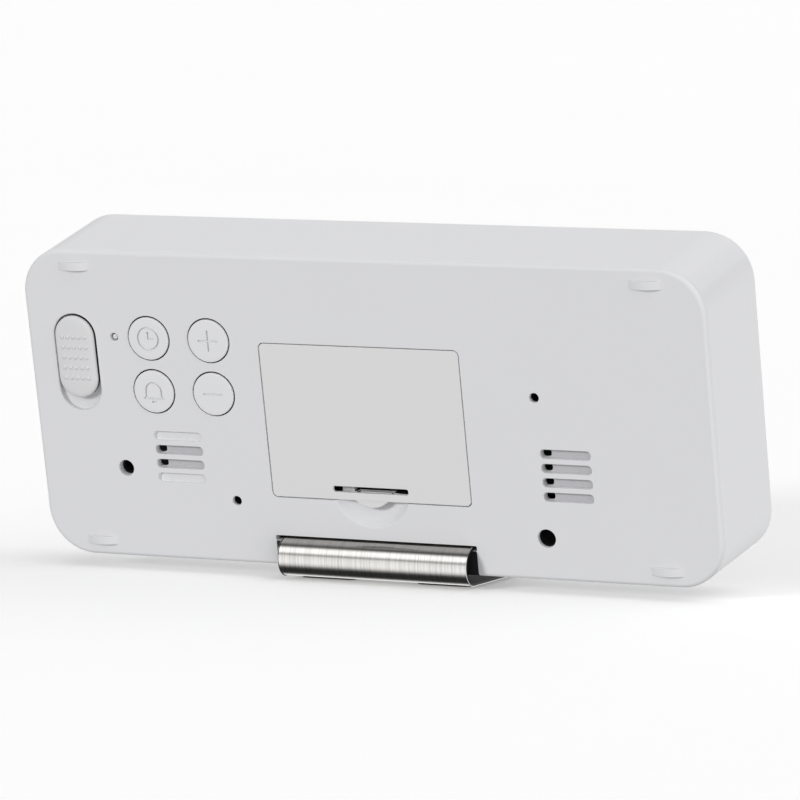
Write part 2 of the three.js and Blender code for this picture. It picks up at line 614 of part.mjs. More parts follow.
function displayCarrier() {
  const inside = plateBack + carrier.plate;
  const tray = cut(block(trayWidth, trayHeight, plateBack, lcdFront, { z: mid }),
    block(trayWidth - 2 * carrier.wall, trayHeight - 2 * carrier.wall, inside, lcdFront + past, { z: mid }));
  const ears = block(2 * earX + carrier.ear, carrier.earHeight, plateBack, inside, { z: mid });
  const bosses = wells.map(({ x, z, shank }) => rod(shank + well.boss, wellFloor + gap, plateBack + root,
    { x, z }));
  const bores = wells.map(({ x, z, shank }) => rod(shank + well.clearance, wellFloor - past, plateBack - past,
    { x, z, sides: 8 }));
  const earHoles = bothSides((side) => rod(carrier.hole, plateBack - past, inside + past,
    { x: side * earX, z: mid, sides: 10 }));
  const slots = zebraPlaces.map(({ x, z, length }) => block(length + 2 * gap, zebra.height + 2 * gap,
    plateBack - past, inside + past, { x, z }));
  return cut(join(tray, ears, ...bosses), ...bores, ...earHoles, ...slots);
}

// The lower connector starts past the lower screw boss.
const zebraEnd = lcdWidth / 2 - zebra.end;
const bossEnd = wells[2].x + wells[2].shank + well.boss + zebra.clear;
const zebraPlaces = [
  { name: 'upper', x: 0, z: mid + zebraUp, length: 2 * zebraEnd },
  { name: 'lower', x: (bossEnd + zebraEnd) / 2, z: mid - zebraUp, length: zebraEnd - bossEnd },
];

function zebraStrip({ x, z, length }) {
  return block(length, zebra.height, boardFace + gap, lcdBack - gap, { x, z });
}

function lightGuide() {
  return block(guideWidth, guideHeight, guideBack, guideBack + guide.thickness, { x: guide.shift, z: mid });
}

// A narrow board with three lamps that shine into the end of the light guide.
function lightBar() {
  const face = guide.shift - guideWidth / 2 - gap - lamp.proud;
  const middle = guideBack + guide.thickness / 2;
  const lamps = [-1, 0, 1].map((step) => block(lamp.proud + root, lamp.length, middle - lamp.width / 2,
    middle + lamp.width / 2, { x: face + (lamp.proud - root) / 2, z: mid + step * lamp.pitch }));
  const strip = block(lamp.thickness, guideHeight - guide.end, guideBack + root, guideBack + guide.thickness,
    { x: face - lamp.thickness / 2, z: mid });
  return join(strip, ...lamps);
}

function mainBoardPlate() {
  const height = shell.height - 2 * mainBoard.border;
  const holes = wells.map(({ x, z, shank }) => rod(shank + well.boss + gap, boardBack - past,
    boardFace + past, { x, z }));
  return cut(block(lcdWidth, height, boardBack, boardFace, { z: mid }), ...holes);
}

// The chip sits under a domed blob of resin.
function processor() {
  const { radius, height } = blob;
  const base = boardBack - gap;
  const shoulder = 0.85 * radius;
  return turned([
    [0, base], [radius, base], [shoulder, base - height / 2], [radius / 2, base - 0.9 * height],
    [0, base - height],
  ], { x: blob.x, z: blob.z });
}

// ---- Screws ---------------------------------------------------------------------------------------------
function caseScrew({ x, z, head, shank }) {
  const seat = well.seat - gap;
  const top = seat - screw.head - screw.dome;
  const length = screw.slotLength * head;
  const width = screw.slotWidth * head;
  const body = turned([
    [0, plateBack - screw.bite], [shank, plateBack - screw.bite], [shank, seat], [head, seat],
    [head, seat - screw.head], [0, top],
  ], { x, z, sides: 14 });
  const bars = [[length, width], [width, length]]
    .map(([across, up]) => block(across, up, top - past, top + screw.slotDepth, { x, z }));
  return cut(body, ...bars);
}

function carrierScrewAt(x) {
  const seat = plateBack - gap;
  const { shank, head, height, bite } = carrierScrew;
  return turned([
    [0, guideBack + bite], [shank, guideBack + bite], [shank, seat], [head, seat], [head, seat - height],
    [0, seat - height - gap],
  ], { x, z: mid, sides: 12 });
}

const clampPlaces = bothSides((side) => ({
  name: side < 0 ? 'left' : 'right', x: centreX + side * clampScrew.spread,
}));

function clampScrewAt(x) {
  const seat = legZ - stand.sheet - gap;
  const { depth, head, headHeight, shank, length } = clampScrew;
  return join(post(x, depth, seat - headHeight, seat, head, 14),
    post(x, depth, seat - root, seat + length, shank));
}

// ---- Stand ----------------------------------------------------------------------------------------------
// One strip: a leg in the slot square to the panel, a round bend behind it, and a foot along the table.
function standStrip() {
  const { bend, sheet, tail, leg, width } = stand;
  const { y, z } = bendCentre;
  const sweep = Math.PI - tilt;
  const quarter = Math.PI / 2;
  const bendEnd = (radius) => [y + radius * Math.sin(sweep), z + radius * Math.cos(sweep)];
  const [outerY, outerZ] = bendEnd(bend);
  const [innerY, innerZ] = bendEnd(bend - sheet);
  const run = [-leg * Math.cos(tilt), -leg * Math.sin(tilt)];
  const shape = new THREE.Shape();
  shape.moveTo(-tail, legZ);
  shape.lineTo(y, legZ);
  shape.absarc(y, z, bend, quarter, quarter - sweep, true);
  shape.lineTo(outerY + run[0], outerZ + run[1]);
  shape.lineTo(innerY + run[0], innerZ + run[1]);
  shape.lineTo(innerY, innerZ);
  shape.absarc(y, z, bend - sheet, quarter - sweep, quarter, false);
  shape.lineTo(-tail, legZ - sheet);
  const holes = clampPlaces.map(({ x }) => post(x, clampScrew.depth, legZ - sheet - past, legZ + past,
    clampScrew.shank + gap));
  return cut(profile(shape, width, { x: centreX, segments: 8 }), ...holes);
}

// The pads lie flat on the table under the strip's foot.
function standPad(side) {
  const { length, width, thickness, spread } = pad;
  const geometry = new THREE.BoxGeometry(width, length, thickness);
  return solid(geometry.translate(centreX + side * spread, bendFoot.y - stand.leg / 2, thickness / 2));
}

// ---- Leads ----------------------------------------------------------------------------------------------
// A flat ribbon from the key board over its top edge to the main board.
function ribbonCable() {
  const { side, width, thickness, hang, above } = ribbon;
  const near = -(boardDepth - gap - thickness);
  const far = -(boardBack - gap);
  const radius = (near - far) / 2;
  const centre = (near + far) / 2;
  const top = keyBoard.high + above;
  const shape = new THREE.Shape();
  shape.moveTo(near, top - hang);
  shape.lineTo(near, top);
  shape.absarc(centre, top, radius, 0, Math.PI, false);
  shape.lineTo(far, top - hang);
  shape.lineTo(far + thickness, top - hang);
  shape.lineTo(far + thickness, top);
  shape.absarc(centre, top, radius - thickness, Math.PI, 0, true);
  shape.lineTo(near - thickness, top - hang);
  return profile(shape, width, { x: fromSide(side) });
}

// Each pair of leads runs from its part forward to the back of the main board.
const leadEnd = boardBack - gap - lead.clear;

function batteryLead() {
  const start = centreX - bayEnd - bay.wall - gap - past;
  return tube([[start, 9, 49], [start - 2, 9.4, 49], [start - 5, 12, 49.5],
    [start - 6.5, leadEnd - 1.5, 50], [start - 6.8, leadEnd, 50]], 2 * lead.thickness, lead.thickness, 8);
}

function speakerLead() {
  const start = behindWall + gap + speaker.depth + lead.thickness + gap;
  const x = ventX - magnet.radius - gap - lead.thickness - root;
  return tube([[x, start, 21], [x - 1.5, start + 0.4, 20], [x - 2.5, start + 3, 19],
    [x - 3, leadEnd - 1.5, 18.5], [x - 3, leadEnd, 18.5]], 2 * (lead.thickness - root), lead.thickness, 8);
}

// ---- Assembly -------------------------------------------------------------------------------------------
add('front_housing', frontHousing(), white);
add('back_cover', backCover(), white);
add('battery_door', batteryDoor(), white);

cellPlaces.forEach((place, i) => {
  add(`battery_cell_${i + 1}`, batteryCell(place), label);
  add(`contact_spring_${i + 1}`, contactSpring(place), nickel);
});
add('contact_plate_right_upper', contactPlate(1, cellPlaces[0].z, 1), nickel);
add('contact_plate_right_lower', contactPlate(1, (cellPlaces[1].z + cellPlaces[2].z) / 2, 2), nickel);
add('contact_plate_left_upper', contactPlate(-1, (cellPlaces[0].z + cellPlaces[1].z) / 2, 2), nickel);
add('contact_plate_left_lower', contactPlate(-1, cellPlaces[2].z, 1), nickel);

keyPlaces.forEach((place) => {
  add(`${place.name}_key`, keyCap(place), keyWhite);
  add(`${place.name}_plunger`, keyPlunger(place), blackPlastic);
  add(`${place.name}_switch`, tactSwitch(tact.side, plunger.radius, keys.travel, place), blackPlastic);
});
add('reset_pin', resetPin(), keyWhite);
const resetPlace = { x: resetX, z: reset.z };
add('reset_switch', tactSwitch(tact.small, reset.radius, reset.travel, resetPlace), blackPlastic);
add('alarm_slider', alarmSlider(), keyWhite);
add('slide_switch', slideSwitch(), screwSteel);
add('key_board', keyBoardPlate(), green);

add('inlet_socket', inletSocket(), blackPlastic);
add('inlet_pin', inletPin(), brass);
add('speaker_frame', speakerFrame(), screwSteel);
add('speaker_cone', speakerCone(), paper);
add('speaker_magnet', speakerMagnet(), nickel);
add('temperature_sensor', temperatureSensor(), green);

add('display_lens', displayLens(), smoked);
add('display_carrier', displayCarrier(), keyWhite);
add('lcd_glass', block(lcdWidth, lcdHeight, lcdBack, lcdFront, { z: mid }), displayGlass);
add('light_guide', lightGuide(), clear);
add('light_bar', lightBar(), green);
zebraPlaces.forEach((place) => add(`zebra_${place.name}`, zebraStrip(place), rubber));
add('main_board', mainBoardPlate(), green);
add('processor', processor(), blackPlastic);

wells.forEach((place) => add(place.name, caseScrew(place), screwSteel));
add('carrier_screw_left', carrierScrewAt(-earX), screwSteel);
add('carrier_screw_right', carrierScrewAt(earX), screwSteel);
clampPlaces.forEach(({ name, x }) => add(`stand_screw_${name}`, clampScrewAt(x), screwSteel));

add('stand_strip', standStrip(), steel);
add('ribbon_cable', ribbonCable(), keyWhite);
add('battery_lead', batteryLead(), wire);
add('speaker_lead', speakerLead(), wire);

// The strip's foot stands on its pads, and the case leans back about it.
clock.rotation.x = -tilt;
const bendFoot = new THREE.Vector3(0, bendCentre.y, bendCentre.z).applyEuler(clock.rotation);
clock.position.z = pad.thickness + gap + stand.bend - bendFoot.z;
add('stand_pad_left', standPad(-1), rubber, model);
add('stand_pad_right', standPad(1), rubber, model);
model.add(clock);

// The origin is under the middle of the whole clock.
const bounds = new THREE.Box3().setFromObject(model, true);
const middle = bounds.getCenter(new THREE.Vector3());
const placed = new THREE.Group();
placed.add(model);
model.position.set(-middle.x, -middle.y, 0);

export default placed;
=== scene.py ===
import json
import math

import bmesh
import bpy
from mathutils import Matrix, Vector


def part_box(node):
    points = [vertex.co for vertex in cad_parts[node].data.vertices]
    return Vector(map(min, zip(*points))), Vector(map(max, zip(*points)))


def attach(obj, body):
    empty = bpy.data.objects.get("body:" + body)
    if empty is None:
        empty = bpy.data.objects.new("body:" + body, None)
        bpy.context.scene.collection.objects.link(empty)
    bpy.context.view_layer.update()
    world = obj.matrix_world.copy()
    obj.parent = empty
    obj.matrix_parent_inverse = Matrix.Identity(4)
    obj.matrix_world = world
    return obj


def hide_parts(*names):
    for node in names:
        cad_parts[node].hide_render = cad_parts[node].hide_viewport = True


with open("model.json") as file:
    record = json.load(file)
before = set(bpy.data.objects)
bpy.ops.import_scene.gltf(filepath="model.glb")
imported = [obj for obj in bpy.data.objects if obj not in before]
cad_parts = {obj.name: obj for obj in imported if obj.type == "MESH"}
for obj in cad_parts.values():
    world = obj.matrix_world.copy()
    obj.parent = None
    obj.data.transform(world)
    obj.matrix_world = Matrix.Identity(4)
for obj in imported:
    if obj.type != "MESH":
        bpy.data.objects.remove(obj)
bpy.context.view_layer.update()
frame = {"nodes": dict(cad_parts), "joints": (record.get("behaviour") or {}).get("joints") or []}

# ---- Table, light and camera ----------------------------------------------------------------------------
# The clock stands on a wide plain table in a soft studio tent, with a large lamp behind it. The camera stands
# about 1.25 m off, a little above the panel, with a long lens that keeps the sides nearly parallel.
scene = bpy.context.scene
scene.view_settings.view_transform = "Standard"


class Shade:
    """One socket of a material. Sums on it add Math nodes, and add() places a node of any other kind."""

    def __init__(self, tree, socket=None):
        self.tree, self.socket = tree, socket

    def add(self, kind, settings=None, sockets=None, out=0):
        """Adds a node: its settings first, then what its sockets hold or are linked to."""
        made = self.tree.nodes.new(kind)
        for name, value in (settings or {}).items():
            if name != "stops":
                setattr(made, name, value)
                continue
            stops = made.color_ramp.elements
            while len(stops) < len(value):
                stops.new(1)
            for stop, (place, tone) in zip(stops, value):
                stop.position = place
                stop.color = (tone, tone, tone, 1) if isinstance(tone, (int, float)) else tone
        for name, value in (sockets or {}).items():
            if isinstance(value, Shade):
                self.tree.links.new(value.socket, made.inputs[name])
            else:
                made.inputs[name].default_value = value
        return Shade(self.tree, made.outputs[out])

    def sum(self, operation, first, second=0.0):
        return self.add("ShaderNodeMath", {"operation": operation}, {0: first, 1: second})

    def __add__(self, other):
        return self.sum("ADD", self, other)

    def __sub__(self, other):
        return self.sum("SUBTRACT", self, other)

    def __mul__(self, other):
        return self.sum("MULTIPLY", self, other)

    def __truediv__(self, other):
        return self.sum("DIVIDE", self, other)

    def __rsub__(self, other):
        return self.sum("SUBTRACT", other, self)

    def __rtruediv__(self, other):
        return self.sum("DIVIDE", other, self)

    __radd__, __rmul__ = __add__, __mul__

    def above(self, limit, soft):
        """Rises softly from 0 to 1 about a limit."""
        return self.add("ShaderNodeMapRange", {"interpolation_type": "SMOOTHSTEP"},
                        {"Value": self, "From Min": limit - soft, "From Max": limit + soft})

    def blend(self, first, second):
        """Mixes two colours, with this socket as the factor."""
        return self.add("ShaderNodeMix", {"data_type": "RGBA"}, {0: self, 6: first, 7: second}, out=2)

    def bumped(self, depth, strength=1.0):
        return self.add("ShaderNodeBump", None,
                        {"Height": self, "Distance": depth, "Strength": strength}, out="Normal")


def finish(name, **uniform):
    """A new material: uniform values are set on the shader, and what varies is linked in afterwards."""
    material = bpy.data.materials.new(name)
    material.use_nodes = True
    shader = material.node_tree.nodes["Principled BSDF"]
    for key, value in uniform.items():
        shader.inputs[key.replace("_", " ").title().replace("Ior", "IOR")].default_value = value
    return material, Shade(material.node_tree)


def feed(material, socket, value):
    material.node_tree.links.new(value.socket, material.node_tree.nodes["Principled BSDF"].inputs[socket])


def noise(paint, scale, detail=2.0, roughness=0.5, at=None):
    place = at or paint.add("ShaderNodeTexCoord", out="Object")
    return paint.add("ShaderNodeTexNoise", None, {
        "Vector": place, "Scale": scale, "Detail": detail, "Roughness": roughness})


table_top, paint = finish("table_top", roughness=0.75, specular_ior_level=0.1, emission_strength=0.2)
table_top.node_tree.nodes["Principled BSDF"].inputs["Emission Color"].default_value = (1, 1, 1, 1)
feed(table_top, "Base Color", noise(paint, 3.0).blend((0.93, 0.93, 0.93, 1), (0.95, 0.95, 0.95, 1)))

table_reach = 14.0
table_mesh = bpy.data.meshes.new("table")
table_mesh.from_pydata([(x, y, 0) for x, y in ((-table_reach, -table_reach), (table_reach, -table_reach),
                                               (table_reach, table_reach), (-table_reach, table_reach))],
                       [], [(0, 1, 2, 3)])
table_mesh.materials.append(table_top)
table = bpy.data.objects.new("table", table_mesh)
table.visible_glossy = False
table.visible_diffuse = False
scene.collection.objects.link(table)

# The tent's light falls off gently from one side to the other. Polished metal sees bright and dark cards in it,
# sorted by height, and neither the table nor the lamp. The table bounces no light back up.
sky = bpy.data.worlds.new("sky")
sky.use_nodes = True
scene.world = sky
sky_paint = Shade(sky.node_tree)
facing = sky_paint.add("ShaderNodeTexCoord", out="Generated")
across, behind, height = (sky_paint.add("ShaderNodeSeparateXYZ", None, {0: facing}, out=axis) for axis in "XYZ")
cards = sky_paint.add("ShaderNodeValToRGB", {"stops": [
    (0.0, 0.01), (0.075, 0.015), (0.1, 0.05), (0.135, 0.18), (0.19, 0.42), (0.27, 0.55), (0.36, 0.56), (0.46, 0.53),
    (0.56, 0.5), (0.6, 0.32), (0.64, 0.18), (0.67, 0.24), (0.71, 0.55), (0.76, 0.72), (0.9, 0.7), (0.935, 0.25),
    (0.96, 0.03)]}, {0: height * 0.5 + 0.5})
plain = height * 0.06 + behind * -0.2 + across * -0.66 + 0.66
glossy = sky_paint.add("ShaderNodeLightPath", out="Is Glossy Ray")
camera_ray = sky_paint.add("ShaderNodeLightPath", out="Is Camera Ray")
bright = sky_paint.add("ShaderNodeMix", {"data_type": "FLOAT"}, {0: glossy, 2: plain, 3: cards * 2.0})
bright = sky_paint.add("ShaderNodeMix", {"data_type": "FLOAT"}, {0: camera_ray, 2: bright, 3: 1.0})
sky_shader = sky.node_tree.nodes["Background"]
sky.node_tree.links.new(bright.socket, sky_shader.inputs["Strength"])
sky_shader.inputs["Color"].default_value = (1, 1, 1, 1)

lamp_data = bpy.data.lights.new("key_light", "SUN")
lamp_data.energy = 1.55
lamp_data.angle = math.radians(14)
lamp = bpy.data.objects.new("key_light", lamp_data)
lamp.rotation_euler = Vector((0.42, 0.85, 0.25)).to_track_quat("Z", "Y").to_euler()
lamp.visible_glossy = False
scene.collection.objects.link(lamp)

aim = Vector((-0.0022, 0, 0.0428))
azimuth, elevation, away = math.radians(205.02), math.radians(5.424), 1.2492
camera_data = bpy.data.cameras.new("camera")
camera_data.lens = 240
camera_data.sensor_width = 36
camera = bpy.data.objects.new("camera", camera_data)
back = Vector((math.sin(azimuth) * math.cos(elevation), -math.cos(azimuth) * math.cos(elevation),
               math.sin(elevation)))
camera.location = aim + away * back
camera.rotation_euler = back.to_track_quat("Z", "Y").to_euler()
scene.collection.objects.link(camera)
scene.camera = camera

# ---- Front housing --------------------------------------------------------------------------------------
# The open box that carries the display, injection moulded in satin white ABS. Its sides flare a little to
# the front, where the edge is rounded, and a step in the front wall takes the lens.
joints = {joint["name"]: joint for joint in frame["joints"]}
to_back = -Vector(joints["clock_key_press"]["axis"])
up_panel = -Vector(joints["alarm_slide"]["axis"])
door_hinge = Vector(joints["battery_door_hinge"]["pos_m"])
door_top, door_x = 54.55, 0.5
millimetre = 0.001
case_corner = door_hinge - millimetre * (door_x * to_back.cross(up_panel) + door_top * up_panel)
case_frame = Matrix((to_back.cross(up_panel), to_back, up_panel)).transposed().to_4x4()
case_frame = Matrix.Translation(case_corner) @ case_frame @ Matrix.Scale(millimetre, 4)

case_width, case_height, case_depth = 174, 75.8, 30
case_mid = case_height / 2
corner_radius, edge_radius, flare, wall, face_wall = 11.3, 1, 0.7, 2, 3.2
seam, gap = 1.3, 0.3
lens_border, lens_corner, lens_thickness = 5, 8, 1.5


def rounded(width, height, radius, steps=10):
    """Points round a rectangle with round corners, as (x, z) about its middle."""
    points = []
    for side, top, start in ((1, 1, 0), (-1, 1, 90), (-1, -1, 180), (1, -1, 270)):
        for i in range(steps + 1):
            turn = math.radians(start + 90 * i / steps)
            points.append((side * (width / 2 - radius) + radius * math.cos(turn),
                           top * (height / 2 - radius) + radius * math.sin(turn)))
    return points


def loft(rings):
    """A closed solid through rings of equal count, in case millimetres."""
    form = bmesh.new()
    loops = [[form.verts.new(point) for point in ring] for ring in rings]
    for low, high in zip(loops, loops[1:]):
        for i in range(len(low)):
            j = (i + 1) % len(low)
            form.faces.new((low[i], low[j], high[j], high[i]))
    form.faces.new(loops[0][::-1])
    form.faces.new(loops[-1])
    bmesh.ops.remove_doubles(form, verts=form.verts, dist=1e-4)
    bmesh.ops.recalc_face_normals(form, faces=form.faces)
    mesh = bpy.data.meshes.new("form")
    form.to_mesh(mesh)
    form.free()
    return mesh


def slab(outline, start, end, x=0, z=0, start_round=0.0, end_round=0.0, steps=4):
    """Fills outline(inset) between two depths from the back face, with quarter-round edges."""
    levels = []
    for i in range(steps + 1):
        turn = math.radians(90 * i / steps)
        levels.append((start + start_round * (1 - math.sin(turn)), start_round * (1 - math.cos(turn))))
    levels.reverse()
    for i in range(steps + 1):
        turn = math.radians(90 * i / steps)
        levels.append((end - end_round * (1 - math.sin(turn)), end_round * (1 - math.cos(turn))))
    levels = [levels[i] for i in range(len(levels)) if i == 0 or levels[i] != levels[i - 1]]
    levels.sort(key=lambda level: level[0])
    return loft([[(x + px, -depth, z + pz) for px, pz in outline(inset)] for depth, inset in levels])


def rectangle(width, height, radius, steps=10):
    return lambda inset: rounded(width - 2 * inset, height - 2 * inset, radius - min(inset, 0.98 * radius), steps)


def disc(radius, steps=12):
    return lambda inset: rounded(2 * (radius - inset), 2 * (radius - inset), radius - inset, steps)


def combined(operation, body, tools):
    """The body with every tool joined to it or cut from it."""
    host = bpy.data.objects.new("host", body)
    scene.collection.objects.link(host)
    helpers = []
    for tool in tools:
        helper = bpy.data.objects.new("tool", tool)
        scene.collection.objects.link(helper)
        helpers.append(helper)
        step = host.modifiers.new("step", "BOOLEAN")
        step.operation, step.solver, step.object = operation, "MANIFOLD", helper
    made = bpy.data.meshes.new_from_object(host.evaluated_get(bpy.context.evaluated_depsgraph_get()))
    for thing in (host, *helpers):
        bpy.data.objects.remove(thing)
    return made


def join(body, *tools):
    return combined("UNION", body, tools)


def cut(body, *tools):
    return combined("DIFFERENCE", body, tools)


def piece(name, mesh, materials, body, replaced, sharp=32, place=case_frame):
    """Puts a finished mesh in the row frame, smooths it, and lets it stand for its CAD nodes."""
    mesh.transform(place)
    parts = [face.material_index for face in mesh.polygons]
    mesh.materials.clear()
    for material in materials if isinstance(materials, list) else [materials]:
        mesh.materials.append(material)
    mesh.polygons.foreach_set("material_index", parts)
    mesh.shade_smooth()
    mesh.set_sharp_from_angle(angle=math.radians(sharp))
    made = bpy.data.objects.new(name, mesh)
    mesh.name = name
    scene.collection.objects.link(made)
    even = made.modifiers.new("even_normals", "WEIGHTED_NORMAL")
    even.keep_sharp = True
    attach(made, body)
    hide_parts(*([replaced] if isinstance(replaced, str) else replaced))
    return made


def case_ring(depth, inset=0.0):
    spread = 2 * flare * depth / case_depth - 2 * inset
    return [(x, -depth, case_mid + z) for x, z in
            rounded(case_width + spread, case_height + spread, corner_radius - inset, 16)]


def moulded(name, tone, grain, gloss, spread=0.02):
    """Satin ABS: a faint cloud in the white, a fine spark-eroded grain, and gloss that drifts a little."""
    material, paint = finish(name, ior=1.53)
    cloud = noise(paint, 28, 3.0)
    fine = noise(paint, 2600, 1.0)
    darker = tuple(channel * (1 - spread) for channel in tone)
    feed(material, "Base Color", cloud.blend((*darker, 1), (*tone, 1)))
    feed(material, "Roughness", cloud * 0.08 + fine * 0.05 + gloss)
    feed(material, "Normal", fine.bumped(grain))
    return material


# Black moulding for the switches, sockets and processor, also used as painted shade on the deep walls of holes, wells
# and gaps.
black_and_painted_shade, paint = finish("black_moulding_and_painted_shade", ior=1.5)
feed(black_and_painted_shade, "Base Color", noise(paint, 200, 3.0).blend((0.012, 0.012, 0.013, 1), (0.022, 0.022, 0.024, 1)))
feed(black_and_painted_shade, "Roughness", noise(paint, 700) * 0.15 + 0.38)
feed(black_and_painted_shade, "Normal", noise(paint, 2600).bumped(0.00001))

case_white = moulded("case_white", (0.74, 0.742, 0.757), 0.000012, 0.37)

outside = [case_ring(seam + 0.03, 0.1), case_ring(seam + 0.13)]
outside.append(case_ring(case_depth / 2))
for i in range(7):
    turn = math.radians(15 * i)
    outside.append(case_ring(case_depth - edge_radius * (1 - math.sin(turn)),
                             edge_radius * (1 - math.cos(turn))))
housing = loft(outside)
face_inner = case_depth - face_wall
cavity = loft([case_ring(depth, wall) for depth in (0.5, 15, face_inner - 0.01)])
lens_rebate = slab(rectangle(case_width - 2 * lens_border + 2 * gap, case_height - 2 * lens_border + 2 * gap,
                             lens_corner + gap), case_depth - lens_thickness - gap, case_depth + 1, z=case_mid)
window_size, window_corner = (154, 54), 3
display_window = slab(rectangle(*window_size, window_corner), face_inner - 2, case_depth, z=case_mid)
post_x, post_radius, post_depth, bore_radius = 83, 2.2, 18.9, 1.2
posts = [slab(disc(post_radius, 5), post_depth, face_inner + 0.5, x=side * post_x, z=case_mid)
         for side in (-1, 1)]
post_bores = [slab(disc(bore_radius, 5), post_depth - 1, face_inner - 1, x=side * post_x, z=case_mid)
              for side in (-1, 1)]
housing = join(cut(housing, cavity), *posts)
housing = cut(housing, lens_rebate, display_window, *post_bores)
piece("front_housing_shell", housing, case_white, "case", "front_housing")

# ---- Back cover -----------------------------------------------------------------------------------------
# The control panel is satin white ABS, with battery bay, screw wells and slider cup moulded in one with it and
# a small lead-in round at every opening. Painted shade: the walls of the wells and key holes deeper in, the
# bay's lower wall and the floor of the recess behind the strip are black, and the vent floors a darker grey.
inset = wall + gap
mouth = 0.25
past = 1
key_places = {"clock": (54.775, 54.725), "plus": (39.025, 54.725),
              "alarm": (54.775, 41.675), "minus": (39.025, 41.675)}
key_hole = 5.5
reset_place, reset_hole = (64, 54.7), 1
slider_place, recess_size, recess_depth = (74.5, 48.15), (11, 23.9), 1.4
inlet_place, inlet_hole = (64.5, 22.2), 1.95
vent_x, vent_rows, vent_mid = 49.8, (30.675, 27.225, 23.775, 20.325), 25.5
vent_size, vent_round = (12.5, 2.2), 0.95
groove, vent_floor, vent_hole = 0.8, 1.5, 2.2
wells = {"lower_right": (35.8, 15.4, 1.15), "upper_left": (-43.2, 44.1, 1.15), "lower_left": (-43.4, 10.2, 2.2)}
well_seat, well_floor, well_wall, well_bores = 10.4, 12, 1.2, (0.75, 0.75, 1.35)
well_shade_top, key_shade_top, vent_shade_top = 1.1, 0.3, 1.1
door_size, door_z, door_corner, door_thickness, door_gap = (51, 37.5), 35.8, 1.2, 1.8, 0.22
bay_size, bay_depth, bay_wall, bay_ledge = (50, 34.5), 13.4, 1.4, 3.4
scoop_z, scoop_radius, scoop_deep = 20.75, 10.2, 2.8
strip_z, strip_slot, strip_shadow_deep = 6.75, (51.8, 1.25), 0.6
strip_leg_top = 7.2
rib_places = [(side * 72.9, z) for side in (-1, 1) for z in (3.85, 71.95)]
rib_length, rib_thickness, rib_proud = 8.2, 2, 1.2


def pocket(outline, depth, x=0, z=0, mouth=mouth, floor=0.0, belt=None):
    """A cutter sunk from the back face, with a rounded mouth and floor. Its wall divides at a belt."""
    levels = [(-past, -mouth)]
    for i in range(1, 5):
        turn = math.radians(22.5 * i)
        levels.append((mouth * (1 - math.cos(turn)), -mouth * (1 - math.sin(turn))))
    if belt:
        levels.append((belt, 0))
    for i in range(5 if floor else 1):
        turn = math.radians(22.5 * i)
        levels.append((depth - floor * (1 - math.sin(turn)), floor * (1 - math.cos(turn))))
    return loft([[(x + px, -level, z + pz) for px, pz in outline(grown)] for level, grown in levels])


def block(width, height, start, end, x=0, z=0, radius=0.3):
    return slab(rectangle(width, height, radius, 2), start, end, x, z)


def turned(profile, x=0, z=0, steps=12):
    """A profile of (radius, depth) pairs turned about a line through the panel."""
    return loft([[(x + px, -depth, z + pz) for px, pz in rounded(2 * radius, 2 * radius, radius, steps)]
                 for radius, depth in profile])


def corner_rib(x, z):
    rings = []
    for along, trim in ((-1, 0.16), (-0.95, 0.05), (-0.85, 0), (0.85, 0), (0.95, 0.05), (1, 0.16)):
        half, proud = rib_length / 2 - trim, rib_proud - trim
        radius = (half ** 2 + proud ** 2) / (2 * proud)
        reach = math.asin(half / radius)
        arc = [reach * (i / 8 - 1) for i in range(17)]
        ring = [(x + radius * math.sin(a), proud - radius + radius * math.cos(a), z + along * rib_thickness / 2)
                for a in arc]
        ring += [(x + half, -0.6, z + along * rib_thickness / 2), (x - half, -0.6, z + along * rib_thickness / 2)]
        rings.append(ring)
    return loft(rings)


plate = [case_ring(edge_radius * (1 - math.cos(math.radians(15 * i))),
                   edge_radius * (1 - math.sin(math.radians(15 * i)))) for i in range(7)]
plate += [case_ring(seam - 0.1), case_ring(seam, 0.1)]
cover = loft(plate)
lip_depth, lip_wall = 5, 1.2
inner_outline = rectangle(case_width - 2 * inset, case_height - 2 * inset, corner_radius - inset)
lip_inset = inset + lip_wall
lip_outline = rectangle(case_width - 2 * lip_inset, case_height - 2 * lip_inset, corner_radius - lip_inset)
lip = cut(slab(inner_outline, seam - 0.2, lip_depth, z=case_mid),
          slab(lip_outline, seam, lip_depth + 1, z=case_mid))
flange_lap, cup_wall, ring_radius, hook_x = 1.8, 1.2, 10.3, 14
bay_flange = slab(rectangle(door_size[0] + 2 * flange_lap, door_size[1] + 2 * flange_lap, 1.5), seam, bay_ledge,
                  door_x, door_z)
bay_box = block(bay_size[0] + 2 * bay_wall, bay_size[1] + 2 * bay_wall, seam, bay_depth + bay_wall, door_x, door_z)
cup = slab(rectangle(recess_size[0] + 2 * cup_wall, recess_size[1] + 2 * cup_wall, recess_size[0] / 2 + cup_wall),
           seam, recess_depth + cup_wall, *slider_place)
pad_size, pad_z, shelf_size, shelf_end = (22.4, 8), 14.05, (54, 3), 15
scoop_pad = block(*pad_size, seam, scoop_deep + cup_wall, door_x, pad_z)
speaker_ring = cut(slab(disc(ring_radius), seam, lip_depth, vent_x, vent_mid),
                   slab(disc(ring_radius - 1), seam, lip_depth + 1, vent_x, vent_mid))
shelf = block(*shelf_size, seam, shelf_end, door_x, strip_leg_top + gap + shelf_size[1] / 2)
sleeves = [slab(disc(radius + well_wall), seam, well_floor, x, z) for x, z, radius in wells.values()]
ribs = [corner_rib(x, z) for x, z in rib_places]
cover = join(cover, slab(inner_outline, seam - 0.2, wall, z=case_mid), lip, bay_flange, bay_box, cup, scoop_pad,
             speaker_ring, shelf, *sleeves, *ribs)

